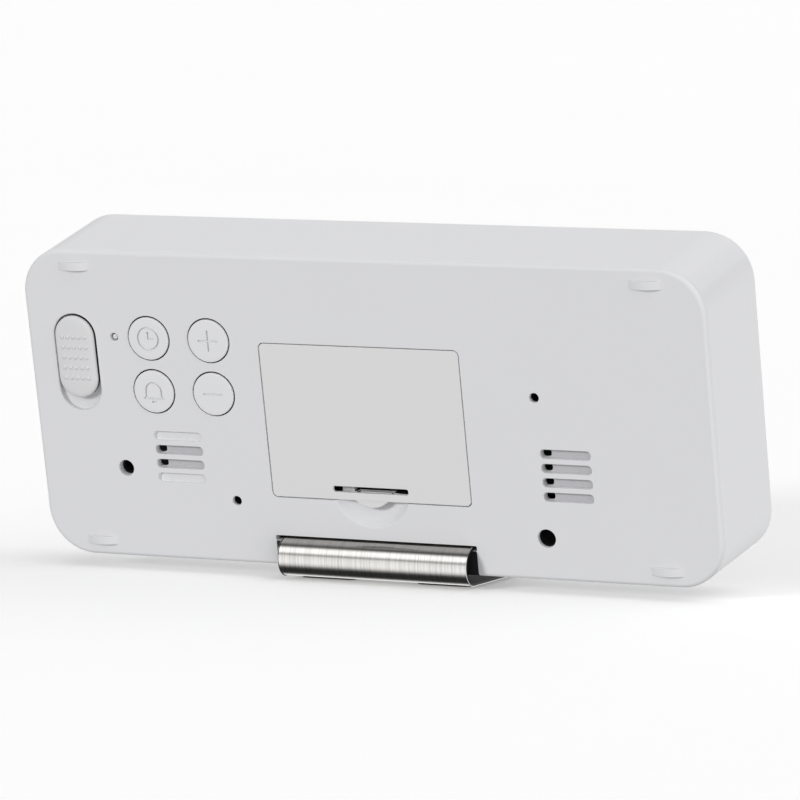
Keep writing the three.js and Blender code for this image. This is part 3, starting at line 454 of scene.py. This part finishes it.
openings = [pocket(disc(key_hole, 16), wall + past, x, z, mouth=0.18, belt=key_shade_top)
            for x, z in key_places.values()]
openings.append(pocket(disc(reset_hole), wall + past, *reset_place))
openings.append(pocket(disc(inlet_hole), wall + past, *inlet_place))
openings += [pocket(disc(radius), well_seat, x, z, belt=well_shade_top) for x, z, radius in wells.values()]
for side in (-1, 1):
    for i, row in enumerate(vent_rows):
        blind = side > 0 and i in (0, 3)
        openings.append(pocket(rectangle(*vent_size, vent_round, 6), groove if blind else vent_floor,
                               side * vent_x, row, mouth=0.2, floor=0.35))
openings.append(pocket(rectangle(*recess_size, recess_size[0] / 2), recess_depth, *slider_place,
                       mouth=0.3, floor=0.25))
door_hole = rectangle(door_size[0] + 2 * door_gap, door_size[1] + 2 * door_gap, door_corner + door_gap)
openings.append(pocket(door_hole, door_thickness + gap, door_x, door_z, mouth=0.12))
openings.append(pocket(rectangle(*strip_slot, 0.35, 4), wall + past, door_x, strip_z, mouth=0.15))
cover = cut(cover, *openings)

scoop_profile = [(scoop_radius + 0.3, -past), (scoop_radius + 0.3, -0.01), (scoop_radius + 0.1, 0.04)]
for i in range(13):
    share = max(1 - i / 12, 0.0001)
    scoop_profile.append(((scoop_radius - 0.05) * share, 0.16 + (scoop_deep - 0.16) * (1 - share ** 2.6) ** 0.62))
hollows = [turned(scoop_profile, door_x, scoop_z, 20),
           block(*bay_size, 0, bay_depth, door_x, door_z, radius=1.2)]
hook_window, hook_window_z, catch_recess, catch_depth, catch_z = (7.2, 4.7), 54.9, (9.6, 2.9), 4, 18
strip_shadow_height, strip_shadow_z, stem_slot = 8.1, 2.05, (2.8, 5.7)
hollows += [block(*hook_window, wall, bay_ledge + past, door_x + side * hook_x, hook_window_z) for side in (-1, 1)]
hollows.append(block(*catch_recess, wall, catch_depth, door_x, catch_z))
# A shallow recess behind the strip whose floor is black, a painted shadow under the strip.
hollows.append(block(strip_slot[0], strip_shadow_height, -past, strip_shadow_deep, door_x, strip_shadow_z))
hollows += [slab(rectangle(vent_hole, vent_size[1] - 0.3, 0.8, 4), 0.9, wall + past,
                 side * vent_x + (vent_size[0] - vent_hole) / 2 - 0.1, row)
            for side in (-1, 1) for i, row in enumerate(vent_rows) if side < 0 or i in (1, 2)]
hollows.append(block(*stem_slot, past, recess_depth + cup_wall + past, *slider_place))
hollows += [slab(disc(shank, 4), well_seat - past, well_floor + past, x, z)
            for (x, z, _), shank in zip(wells.values(), well_bores)]
cover = cut(cover, *hollows)

bay_low = door_z - bay_size[1] / 2
stop_size, stop_from, stop_to, stop_x = (3.1, 2.05), 2.4, 4.2, door_x + 6.8
stop_rib = block(*stop_size, stop_from, stop_to, stop_x, bay_low - 0.2 + stop_size[1] / 2)
cover = join(cover, stop_rib)

# Painted shade: a darker grey laid on the vent floors for the shade in the grooves.
vent_painted_shade, paint = finish("vent_painted_shade")
vent_shade_noise = noise(paint, 2200, 5.0, 0.8)
feed(vent_painted_shade, "Base Color", vent_shade_noise.blend((0.46, 0.455, 0.47, 1), (0.62, 0.61, 0.63, 1)))
feed(vent_painted_shade, "Roughness", vent_shade_noise * 0.1 + 0.88)
feed(vent_painted_shade, "Normal", vent_shade_noise.bumped(0.00005))
# Painted shade: black on the deep walls of wells and key holes, on the bay's lower wall and in the recess behind the
# strip, and darker grey on the vent floors, where shade falls.
for face in cover.polygons:
    depth, x, z = -face.center.y, face.center.x, face.center.z
    in_well = any(math.hypot(x - wx, z - wz) < radius + 0.05 for wx, wz, radius in wells.values())
    in_hole = any(math.hypot(x - kx, z - kz) < key_hole + 0.05 for kx, kz in key_places.values())
    in_bay = abs(x - door_x) < bay_size[0] / 2 - 0.3 and abs(z - bay_low) < 0.05 and 2.2 < depth < bay_depth
    in_vent = abs(abs(x) - vent_x) < vent_size[0] / 2 and abs(z - vent_mid) < 7 and vent_shade_top < depth < wall - 0.02
    strip_shadow = abs(depth - strip_shadow_deep) < 0.01 and abs(x - door_x) < strip_slot[0] / 2 and z < strip_z
    painted_shade = (in_well and depth > well_shade_top) or (in_hole and depth > key_shade_top) or in_bay or strip_shadow
    face.material_index = 1 if painted_shade else 2 if in_vent else 0
piece("back_cover_panel", cover, [case_white, black_and_painted_shade, vent_painted_shade], "case", "back_cover")

# ---- Cells, springs and plates --------------------------------------------------------------------------
# Three AAA cells lie across the bay and alternate in direction, each held by a conical spring of nickelled
# wire. A cell is a drawn steel can in a printed shrink sleeve, with a bare end and a pressed nub.
cell_length, cell_radius, nub_radius, cell_depth = 44.5, 5.25, 1.9, 7.85
cell_rows = {1: (47, 1), 2: (35.8, -1), 3: (24.6, 1)}
nub_end = 24
amber_from = 32

contact_nickel, paint = finish("nickelled_contact", metallic=1.0)
spot = noise(paint, 300, 3.0)
feed(contact_nickel, "Base Color", spot.blend((0.58, 0.56, 0.52, 1), (0.72, 0.7, 0.66, 1)))
feed(contact_nickel, "Roughness", spot * 0.2 + 0.18)
feed(contact_nickel, "Normal", noise(paint, 1500).bumped(0.000008))

can_steel, paint = finish("cell_can", metallic=1.0)
feed(can_steel, "Base Color", noise(paint, 400).blend((0.6, 0.6, 0.6, 1), (0.75, 0.75, 0.74, 1)))
feed(can_steel, "Roughness", noise(paint, 700, 3.0) * 0.2 + 0.2)


def sleeve_film(name, tone):
    material, paint = finish(name, coat_roughness=0.12, ior=1.5)
    fleck = noise(paint, 900, 4.0, 0.7)
    feed(material, "Base Color", fleck.blend((*(0.8 * channel for channel in tone), 1), (*tone, 1)))
    feed(material, "Roughness", fleck * 0.12 + 0.24)
    feed(material, "Coat Weight", fleck * 0.2 + 0.4)
    feed(material, "Normal", noise(paint, 160, 2.0).bumped(0.00003))
    return material


sleeve_dark = sleeve_film("cell_sleeve_dark", (0.018, 0.021, 0.028))
sleeve_amber = sleeve_film("cell_sleeve_amber", (0.55, 0.26, 0.09))


def cell(z, way):
    profile = [(0.001, 0), (3.4, 0), (3.6, 0.12), (4.7, 0.12), (4.95, 0.2), (5.1, 0.45), (5.13, 0.8),
               (cell_radius, 0.82), (cell_radius, 20), (cell_radius, amber_from), (cell_radius, 42.5),
               (5.16, 42.72), (4.9, 42.85), (4.75, 42.9), (4.7, 43.1), (4.45, 43.35), (4.1, 43.44),
               (2.3, 43.46), (2.05, 43.52), (nub_radius, 43.7), (nub_radius, 44.2), (1.82, 44.4),
               (1.6, cell_length), (0.001, cell_length)]
    rings = []
    for radius, along in profile:
        x = door_x + way * (nub_end - cell_length + along)
        rings.append([(x, -cell_depth + px, z + pz) for px, pz in rounded(2 * radius, 2 * radius, radius, 10)])
    mesh = loft(rings)
    for face in mesh.polygons:
        along = way * (face.center.x - door_x) - nub_end + cell_length
        out = math.hypot(face.center.y + cell_depth, face.center.z - z)
        bare = along < 0.81 or along > 43.0 or (along > 42.8 and out < 4.85)
        face.material_index = 0 if bare else 2 if along > amber_from else 1
    return mesh


def wire_spring(z, way):
    start, end, thick, sides, turns = nub_end - 0.3, 19.9, 0.3, 8, 3.5
    steps = 90
    rings = []
    for i in range(steps + 1):
        share = i / steps
        turn = 2 * math.pi * turns * share
        radius = 2.6 * (1 - 0.35 * share)
        # the first and last turns lie flat, as ground ends do
        lift = min(1, max(0, (share - 0.12) / 0.76))
        x = start + (end - start) * lift
        centre = Vector((x, radius * math.cos(turn), radius * math.sin(turn)))
        outward = Vector((0, math.cos(turn), math.sin(turn)))
        rings.append([centre + thick * (math.cos(a) * outward + math.sin(a) * Vector((1, 0, 0)))
                      for a in (2 * math.pi * k / sides for k in range(sides))])
    return loft([[(door_x - way * p.x, -cell_depth + p.y, z + p.z) for p in ring] for ring in rings])


for number, (z, way) in cell_rows.items():
    piece(f"cell_{number}", cell(z, way), [can_steel, sleeve_dark, sleeve_amber], "case",
          f"battery_cell_{number}")
    piece(f"spring_{number}", wire_spring(z, way), contact_nickel, "case",
          f"contact_spring_{number}", sharp=60)


def dress(material, *names):
    """Gives CAD parts that keep their own shape their finish."""
    for name in names:
        for holder in frame["nodes"][name].material_slots:
            holder.material = material


dress(contact_nickel, *(f"contact_plate_{side}_{end}" for side in ("left", "right") for end in ("upper", "lower")))

# ---- Battery door ---------------------------------------------------------------------------------------
# A loose plate of the same ABS, polished a touch smoother and a shade warmer than the panel. Two hooks under
# its top edge are the hinge. A half-round tongue in the scoop and a slot take the fingernail that lifts it.
door_white = moulded("door_white", (0.735, 0.733, 0.735), 0.000008, 0.33, 0.012)
door_low = 17.05
tab_width, tab_drop, tab_thickness = 8.4, 1.74, 1.2
slot_size, slot_z = (19.3, 1.45), 19.65
tab_radius = ((tab_width / 2) ** 2 + tab_drop ** 2) / (2 * tab_drop)
door_plate = slab(rectangle(*door_size, door_corner), 0, door_thickness, door_x, door_z,
                  start_round=0.22, end_round=0.1)
tongue = slab(disc(tab_radius, 24), 0.02, tab_thickness, door_x, door_low - tab_drop + tab_radius,
              start_round=0.3, end_round=0.1)
hook_arm, hook_toe, toe_from, hook_end = (6, 1.7), (6, 3.8), 2.35, 3.4
snap_size, snap_end, stiffener = (8, 1.3), 3.2, (0.9, 24)
hinge_hooks = []
for side in (-1, 1):
    x = door_x + hook_x * side
    hinge_hooks.append(block(*hook_arm, door_thickness - 0.2, hook_end, x, door_top - hook_arm[1] / 2, radius=0.2))
    hinge_hooks.append(block(*hook_toe, toe_from, hook_end, x, door_top + 0.2, radius=0.4))
snap_nose = block(*snap_size, door_thickness - 0.2, snap_end, door_x, door_low + 0.75, radius=0.3)
stiffeners = [block(*stiffener, door_thickness - 0.2, door_thickness + 0.25, door_x + hook_x * side, door_z,
                    radius=0.2)
              for side in (-1, 1)]
door_body = join(door_plate, tongue, *hinge_hooks, snap_nose, *stiffeners)
slot = pocket(rectangle(*slot_size, 0.5, 6), door_thickness + past, door_x, slot_z, mouth=0.15)
thinned = block(slot_size[0] + 1.6, slot_size[1] + 1.6, 0.7, door_thickness + past, door_x, slot_z)
door_body = cut(door_body, thinned, slot)
piece("battery_door_plate", door_body, door_white, "battery_door", "battery_door")

# ---- Four keys ------------------------------------------------------------------------------------------
# Round caps of glossier white ABS with a sunk line symbol each: a clock face, plus, a bell and minus. A wide
# flange behind the panel holds each cap in, and a stem carries the press to a switch on the board.
key_radius, key_proud, key_edge = 5.2, 0.3, 0.2
flange_radius, flange_from, flange_to = 6.1, 2.3, 3.1
stem_radius, stem_end = 1.5, 5.9
line, sunk = 0.44, 0.34
key_white = moulded("key_white", (0.765, 0.767, 0.78), 0.000005, 0.24, 0.012)


def key_cap(x, z):
    profile = [(0.001, stem_end), (stem_radius, stem_end), (stem_radius, flange_to), (flange_radius, flange_to),
               (flange_radius, flange_from), (key_radius, flange_from), (key_radius, key_shade_top)]
    for i in range(7):
        turn = math.radians(15 * i)
        profile.append((key_radius - key_edge * (1 - math.cos(turn)),
                        -key_proud + key_edge * (1 - math.sin(turn))))
    profile += [(key_radius - 1.2, -key_proud - 0.02), (0.001, -key_proud - 0.03)]
    return turned(profile, x, z, 16)


def stroke(points, x, z, closed=False):
    """A line symbol's stroke as cutters: a bar for each stretch and a round spot at each bend."""
    start, end = -1.5, sunk - key_proud
    spots = [slab(disc(line / 2, 3), start, end, x + px, z + pz) for px, pz in points]
    pairs = list(zip(points, points[1:] + points[:1])) if closed else list(zip(points, points[1:]))
    bars = []
    for (ax, az), (bx, bz) in pairs:
        long = math.hypot(bx - ax, bz - az)
        across_x, across_z = -(bz - az) / long * line / 2, (bx - ax) / long * line / 2
        corners = [(ax + across_x, az + across_z), (ax - across_x, az - across_z),
                   (bx - across_x, bz - across_z), (bx + across_x, bz + across_z)]
        bars.append(loft([[(x + px, -depth, z + pz) for px, pz in corners] for depth in (start, end)]))
    return spots + bars


def circle_points(radius, count=28):
    return [(radius * math.cos(2 * math.pi * i / count), radius * math.sin(2 * math.pi * i / count))
            for i in range(count)]


bell = [(-2.5, -1.7), (-2.05, -1.2), (-2.0, 0.2)]
bell += [(2 * math.cos(math.radians(a)), 0.2 + 2 * math.sin(math.radians(a))) for a in range(165, 14, -15)]
bell += [(2.0, 0.2), (2.05, -1.2), (2.5, -1.7)]
symbols = {
    "clock": [(circle_points(2.7), True), ([(0, 1.6), (0, 0), (-1.3, 0)], False)],
    "plus": [([(-2.4, 0), (2.4, 0)], False), ([(0, -2.4), (0, 2.4)], False)],
    "alarm": [(bell, True), ([(-0.5, -2.5), (0.5, -2.5)], False)],
    "minus": [([(-2.4, 0), (2.4, 0)], False)],
}
for name, (x, z) in key_places.items():
    cap = key_cap(x, z)
    for points, closed in symbols[name]:
        cap = cut(cap, *stroke(points, x, z, closed))
    # Painted shade: the cap's sides deeper than the key hole's shade line are black, for the shade in the gap round
    # it.
    for face in cap.polygons:
        face.material_index = 1 if -face.center.y > key_shade_top + 0.1 else 0
    piece(f"{name}_key_cap", cap, [key_white, black_and_painted_shade], f"{name}_key", f"{name}_key")

# ---- Reset pin and alarm slider -------------------------------------------------------------------------
# The pin sits just under the panel in its small hole. The slider is a long crowned white knob whose sides in the
# recess are black, painted shade in the gap round it. A grid of small domes gives the thumb a grip, and a square
# stem through the recess works the switch.
pin_radius, pin_sunk, pin_end, collar, collar_from, collar_to = 0.65, 0.6, 8.6, 1.7, 2.3, 3.4
pin_profile = [(0.001, pin_end), (pin_radius, pin_end), (pin_radius, collar_to), (collar, collar_to),
               (collar, collar_from), (pin_radius, collar_from), (pin_radius, pin_sunk + 0.2),
               (pin_radius - 0.08, pin_sunk + 0.06), (pin_radius - 0.2, pin_sunk), (0.001, pin_sunk)]
piece("reset_pin_moulding", turned(pin_profile, *reset_place), key_white, "reset_pin", "reset_pin")

knob_place, knob_size, knob_back, knob_crown = (74.5, 49.6), (10.2, 20.2), 1.1, 1
dot_radius, dot_proud, dot_pitch, dot_rows = 0.52, 0.36, (1.5, 2.52), 5
stadium = rectangle(*knob_size, knob_size[0] / 2)
knob_shade_top, knob_stem, stem_reach = 0.1, 2.2, 8.7
knob_foot = [(knob_back, 0.15), (knob_back - 0.15, 0), (knob_shade_top, 0), (0, 0)]
knob_curve = [(-0.3, 0.03), (-0.52, 0.14), (-0.68, 0.32), (-0.79, 0.6), (-0.87, 1.05), (-0.93, 1.8), (-0.97, 2.8),
              (-0.99, 3.8), (-knob_crown, 4.6)]
knob = loft([[(knob_place[0] + px, -depth, knob_place[1] + pz) for px, pz in stadium(trim)]
             for depth, trim in knob_foot + knob_curve])


def knob_height(x, z):
    """How far the crown stands out at a place on the knob."""
    half = knob_size[0] / 2
    over = max(0, abs(z) - (knob_size[1] / 2 - half))
    trim = half - math.hypot(x, over)
    for (low, narrow), (high, wide) in zip(knob_curve, knob_curve[1:]):
        if trim <= wide:
            return -(low + (high - low) * max(0, trim - narrow) / (wide - narrow))
    return knob_crown


domes = []
for column in range(dot_rows):
    for row in range(dot_rows):
        x, z = (column - dot_rows // 2) * dot_pitch[0], (row - dot_rows // 2) * dot_pitch[1]
        top = knob_height(x, z)
        profile = [(0.001, -top + 0.3), (dot_radius, -top + 0.3), (dot_radius, -top)]
        profile += [(dot_radius * math.cos(math.radians(a)) + 0.001,
                     -top - dot_proud * math.sin(math.radians(a))) for a in (22, 45, 65, 90)]
        domes.append(turned(profile, knob_place[0] + x, knob_place[1] + z, 4))
knob = join(knob, *domes, block(knob_stem, knob_stem, knob_back - 0.2, stem_reach, *knob_place, radius=0.2))
# Painted shade: the knob's sides down in the recess are black, for the shade in the gap round it.
for face in knob.polygons:
    face.material_index = 1 if -face.center.y > knob_shade_top and abs(face.normal.y) < 0.9 else 0
knob_white = moulded("knob_white", (0.7, 0.7, 0.71), 0.000006, 0.34, 0.012)
piece("alarm_slider_knob", knob, [knob_white, black_and_painted_shade], "alarm_slider", "alarm_slider", sharp=40)

# ---- Behind the panel -----------------------------------------------------------------------------------
# Switches, the DC inlet, the loudspeaker and the sensor board sit behind their openings on a green board.
# Only their fronts show through the vents and holes, so they keep plain shapes and carry their own finishes.
brass, paint = finish("inlet_brass", metallic=1.0)
feed(brass, "Base Color", noise(paint, 500).blend((0.55, 0.36, 0.13, 1), (0.68, 0.48, 0.2, 1)))
feed(brass, "Roughness", noise(paint, 900) * 0.15 + 0.22)

screw_steel, paint = finish("screw_steel", metallic=1.0)
turned_mark = noise(paint, 1400, 3.0)
feed(screw_steel, "Base Color", turned_mark.blend((0.2, 0.2, 0.2, 1), (0.34, 0.34, 0.34, 1)))
feed(screw_steel, "Roughness", turned_mark * 0.25 + 0.3)

board_green, paint = finish("board_green", ior=1.5)
copper = noise(paint, 260, 1.0).above(0.56, 0.015)
feed(board_green, "Base Color", copper.blend((0.008, 0.05, 0.02, 1), (0.016, 0.085, 0.035, 1)))
feed(board_green, "Roughness", noise(paint, 600) * 0.1 + 0.32)
feed(board_green, "Normal", copper.bumped(0.00003))

cone_paper, paint = finish("cone_paper")
fibre = noise(paint, 1800, 6.0, 0.8)
feed(cone_paper, "Base Color", fibre.blend((0.012, 0.011, 0.011, 1), (0.045, 0.042, 0.04, 1)))
feed(cone_paper, "Roughness", fibre * 0.1 + 0.85)
feed(cone_paper, "Normal", fibre.bumped(0.00004))

lead_red, paint = finish("lead_red", ior=1.5)
feed(lead_red, "Base Color", noise(paint, 120).blend((0.3, 0.015, 0.012, 1), (0.42, 0.03, 0.02, 1)))
feed(lead_red, "Roughness", noise(paint, 800) * 0.15 + 0.42)

for name in key_places:
    dress(black_and_painted_shade, f"{name}_plunger", f"{name}_switch")
dress(black_and_painted_shade, "reset_switch", "inlet_socket", "processor")
dress(brass, "inlet_pin")
dress(screw_steel, "slide_switch", "speaker_frame", "case_screw_lower_right", "case_screw_upper_left",
      "case_screw_lower_left", "carrier_screw_left", "carrier_screw_right", "stand_screw_left", "stand_screw_right")
dress(contact_nickel, "speaker_magnet")
dress(cone_paper, "speaker_cone")
dress(board_green, "key_board", "temperature_sensor", "main_board", "light_bar")
dress(lead_red, "battery_lead", "speaker_lead")
dress(key_white, "ribbon_cable", "display_carrier")

# ---- Display --------------------------------------------------------------------------------------------
# A smoked acrylic lens lies flush in the front. Behind it is a dark liquid-crystal glass whose lit segments
# show the time, in a white carrier with a clear light guide and three lamps at one end.
lens_size = (case_width - 2 * lens_border, case_height - 2 * lens_border)
smoked_lens, paint = finish("smoked_lens", roughness=0.04, ior=1.49, alpha=0.62)
feed(smoked_lens, "Base Color", noise(paint, 12).blend((0.006, 0.006, 0.007, 1), (0.009, 0.009, 0.011, 1)))
feed(smoked_lens, "Normal", noise(paint, 30, 1.0).bumped(0.00001))
lens = slab(rectangle(*lens_size, lens_corner, 14), case_depth - lens_thickness, case_depth, z=case_mid,
            start_round=0.1, end_round=0.25)
piece("display_lens_panel", lens, smoked_lens, "case", "display_lens")

crystal, paint = finish("crystal_glass", roughness=0.1, ior=1.52)
feed(crystal, "Base Color", noise(paint, 40).blend((0.005, 0.006, 0.008, 1), (0.008, 0.009, 0.012, 1)))
lit_segment, paint = finish("lit_segment", roughness=0.4, emission_strength=2.6)
feed(lit_segment, "Emission Color", noise(paint, 60).blend((0.82, 0.9, 1, 1), (0.95, 0.98, 1, 1)))
feed(lit_segment, "Base Color", noise(paint, 60).blend((0.7, 0.75, 0.8, 1), (0.8, 0.85, 0.9, 1)))
lcd_front, lcd_back, lcd_height = 26.5, 23.7, 56
lcd_width = 2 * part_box("lcd_glass")[1].x / millimetre
glass = slab(rectangle(lcd_width, lcd_height, 0.4, 2), lcd_back, lcd_front, z=case_mid, start_round=0.15,
             end_round=0.15)
piece("crystal_panel", glass, crystal, "case", "lcd_glass")

digit_width, digit_height, bar_width, slant = 19, 36, 3.6, 0.08
segments = {"1": "bc", "2": "abged", "3": "abgcd", "0": "abcdef"}


def segment_bar(ax, az, bx, bz, x):
    """A flat six-sided bar between two corners of a digit."""
    long = math.hypot(bx - ax, bz - az)
    ux, uz = (bx - ax) / long, (bz - az) / long
    half, trim = bar_width / 2, 0.35
    shape = []
    for along, side in ((trim, 0), (half, 1), (long - half, 1), (long - trim, 0), (long - half, -1), (half, -1)):
        px, pz = ax + ux * along - uz * side * half * 0.92, az + uz * along + ux * side * half * 0.92
        shape.append((x + px + slant * pz, pz))
    return loft([[(px, -depth, case_mid + pz) for px, pz in shape] for depth in (lcd_front - 0.1, lcd_front + 0.08)])


def digit(figure, x):
    right, top = digit_width / 2 - bar_width / 2, digit_height / 2 - bar_width / 2
    ends = {"a": (-right, top, right, top), "b": (right, top, right, 0), "c": (right, 0, right, -top),
            "d": (-right, -top, right, -top), "e": (-right, 0, -right, -top), "f": (-right, top, -right, 0),
            "g": (-right, 0, right, 0)}
    return [segment_bar(*ends[key], x) for key in segments[figure]]


colon_dot, colon_x, colon_z = 3.2, 2, 7
bars = []
for figure, x in zip("1230", (-42, -16, 20, 46)):
    bars += digit(figure, x)
bars += [slab(rectangle(colon_dot, colon_dot, 0.5, 2), lcd_front - 0.1, lcd_front + 0.08, colon_x + slant * z,
              case_mid + z) for z in (-colon_z, colon_z)]
lit = bmesh.new()
for bar in bars:
    lit.from_mesh(bar)
segments_mesh = bpy.data.meshes.new("segments")
lit.to_mesh(segments_mesh)
lit.free()
segments_mesh.transform(case_frame)
segments_mesh.materials.append(lit_segment)
time_segments = bpy.data.objects.new("time_segments", segments_mesh)
scene.collection.objects.link(time_segments)
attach(time_segments, "case")

guide_clear, paint = finish("guide_acrylic", roughness=0.12, ior=1.49)
feed(guide_clear, "Base Color", noise(paint, 90).blend((0.62, 0.66, 0.68, 1), (0.75, 0.78, 0.8, 1)))
rubber, paint = finish("black_rubber")
pore = noise(paint, 2200, 4.0, 0.7)
feed(rubber, "Base Color", pore.blend((0.012, 0.012, 0.013, 1), (0.03, 0.03, 0.031, 1)))
feed(rubber, "Roughness", pore * 0.15 + 0.72)
feed(rubber, "Normal", pore.bumped(0.00003))
dress(guide_clear, "light_guide")
dress(rubber, "zebra_upper", "zebra_lower")

# ---- Stand ----------------------------------------------------------------------------------------------
# One strip of brushed stainless sheet whose inner face is black, painted shade and reflection inside the bend and
# over the foot. Its short leg is screwed under a shelf in the case, it comes out of a slot, turns under in a round
# bend, and its foot lies on two rubber pads.
strip_width, strip_short, sheet, bend, leg, tail = 50, 1.3, 0.9, 4.7, 28, 14
bend_y, bend_z = 0.3, strip_leg_top - bend
lean = math.asin(-to_back.z)
strip_steel, paint = finish("brushed_steel", metallic=1.0)
grain_at = paint.add("ShaderNodeVectorMath", {"operation": "MULTIPLY"},
                     {0: paint.add("ShaderNodeTexCoord", out="Object"), 1: (1.0, 0.012, 0.012)}, out="Vector")
grain = noise(paint, 2600, 4.0, 0.8, grain_at)
coarse = noise(paint, 1500, 2.0, 0.6, grain_at)
streak = grain.above(0.5, 0.16)
brushed = (streak * 0.7 + coarse * 0.3).blend((0.58, 0.565, 0.54, 1), (0.84, 0.83, 0.81, 1))
# Painted shadow: a dark band along the top of the bend, just under the slot, between these two heights.
shadow_band_low, shadow_band_high, shadow_band_soft = 0.00805, 0.0089, 0.0004
up_strip = paint.add("ShaderNodeSeparateXYZ", None, {0: paint.add("ShaderNodeTexCoord", out="Object")}, out="Z")
painted_shadow_band = up_strip.above(shadow_band_low, shadow_band_soft) * (up_strip.above(shadow_band_high, shadow_band_soft) * -0.5 + 1)
feed(strip_steel, "Base Color", (painted_shadow_band * 0.85).blend(brushed, (0.07, 0.065, 0.06, 1)))
feed(strip_steel, "Roughness", grain * 0.1 + coarse * 0.05 + 0.09)
feed(strip_steel, "Normal", (grain + coarse * 0.5).bumped(0.000012))

# Painted shade: black for the strip's inner face, standing in for the shade and dark reflection inside the bend.
inner_face_shade, paint = finish("strip_inner_painted_shade")
inner_shade_noise = noise(paint, 2400, 5.0, 0.8)
feed(inner_face_shade, "Base Color", inner_shade_noise.blend((0.01, 0.01, 0.011, 1), (0.024, 0.024, 0.026, 1)))
feed(inner_face_shade, "Roughness", inner_shade_noise * 0.2 + 0.5)
feed(inner_face_shade, "Normal", inner_shade_noise.bumped(0.00003))


def strip_ring(trim):
    """The strip's section, thinned by trim on each face, as (y, z) points."""
    outer, inner = bend - trim, bend - sheet + trim
    sweep = math.pi - lean
    top, low = strip_leg_top - trim, strip_leg_top - sheet + trim
    steps = 40
    turns = [sweep * i / steps for i in range(steps + 1)]
    run = (-(leg - trim) * math.cos(lean), -(leg - trim) * math.sin(lean))
    over = [(bend_y + outer * math.sin(a), bend_z + outer * math.cos(a)) for a in turns]
    under = [(bend_y + inner * math.sin(a), bend_z + inner * math.cos(a)) for a in reversed(turns)]
    return [(-tail + trim, top), *over, (over[-1][0] + run[0], over[-1][1] + run[1]),
            (under[0][0] + run[0], under[0][1] + run[1]), *under, (-tail + trim, low)]


strip_edge = 0.18
strip_levels = []
for i in range(5):
    turn = math.radians(22.5 * i)
    strip_levels.append((-strip_width / 2 + strip_edge * (1 - math.sin(turn)), strip_edge * (1 - math.cos(turn))))
strip_levels += [(-x - strip_short, trim) for x, trim in reversed(strip_levels)]
strip = loft([[(door_x + x, y, z) for y, z in strip_ring(trim)] for x, trim in strip_levels])
shank_holes = []
shank_x, shank_y, shank_radius = 15, -8, 1.3
for side in (-1, 1):
    ring = rounded(2 * shank_radius, 2 * shank_radius, shank_radius, 5)
    shank_holes.append(loft([[(door_x + shank_x * side + px, shank_y + py, z) for px, py in ring] for z in (5.5, 8)]))
strip = cut(strip, *shank_holes)
inner_bend = bend - sheet / 2
# The inner faces of the bend and the foot take the painted shade.
for face in strip.polygons:
    y, z = face.center.y - bend_y, face.center.z - bend_z
    on_bend = y > 0 and math.hypot(y, z) < inner_bend
    on_foot = y <= 0 and z < 0 and y * math.sin(lean) - z * math.cos(lean) < inner_bend
    face.material_index = 1 if on_bend or on_foot else 0
piece("stand_strip_bent", strip, [strip_steel, inner_face_shade], "case", "stand_strip")

for side in ("left", "right"):
    low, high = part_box(f"stand_pad_{side}")
    centre, span = 500 * (low + high), 1000 * (high - low)
    rings = []
    for level, trim in ((0, 0.12), (0.06, 0.03), (0.14, 0), (0.36, 0), (0.44, 0.03), (0.5, 0.12)):
        rings.append([(centre.x + px, centre.y + py, level) for px, py in
                      rounded(span.x - 2 * trim, span.y - 2 * trim, 2 - trim, 6)])
    piece(f"rubber_pad_{side}", loft(rings), rubber, "case", f"stand_pad_{side}",
          place=Matrix.Scale(millimetre, 4))
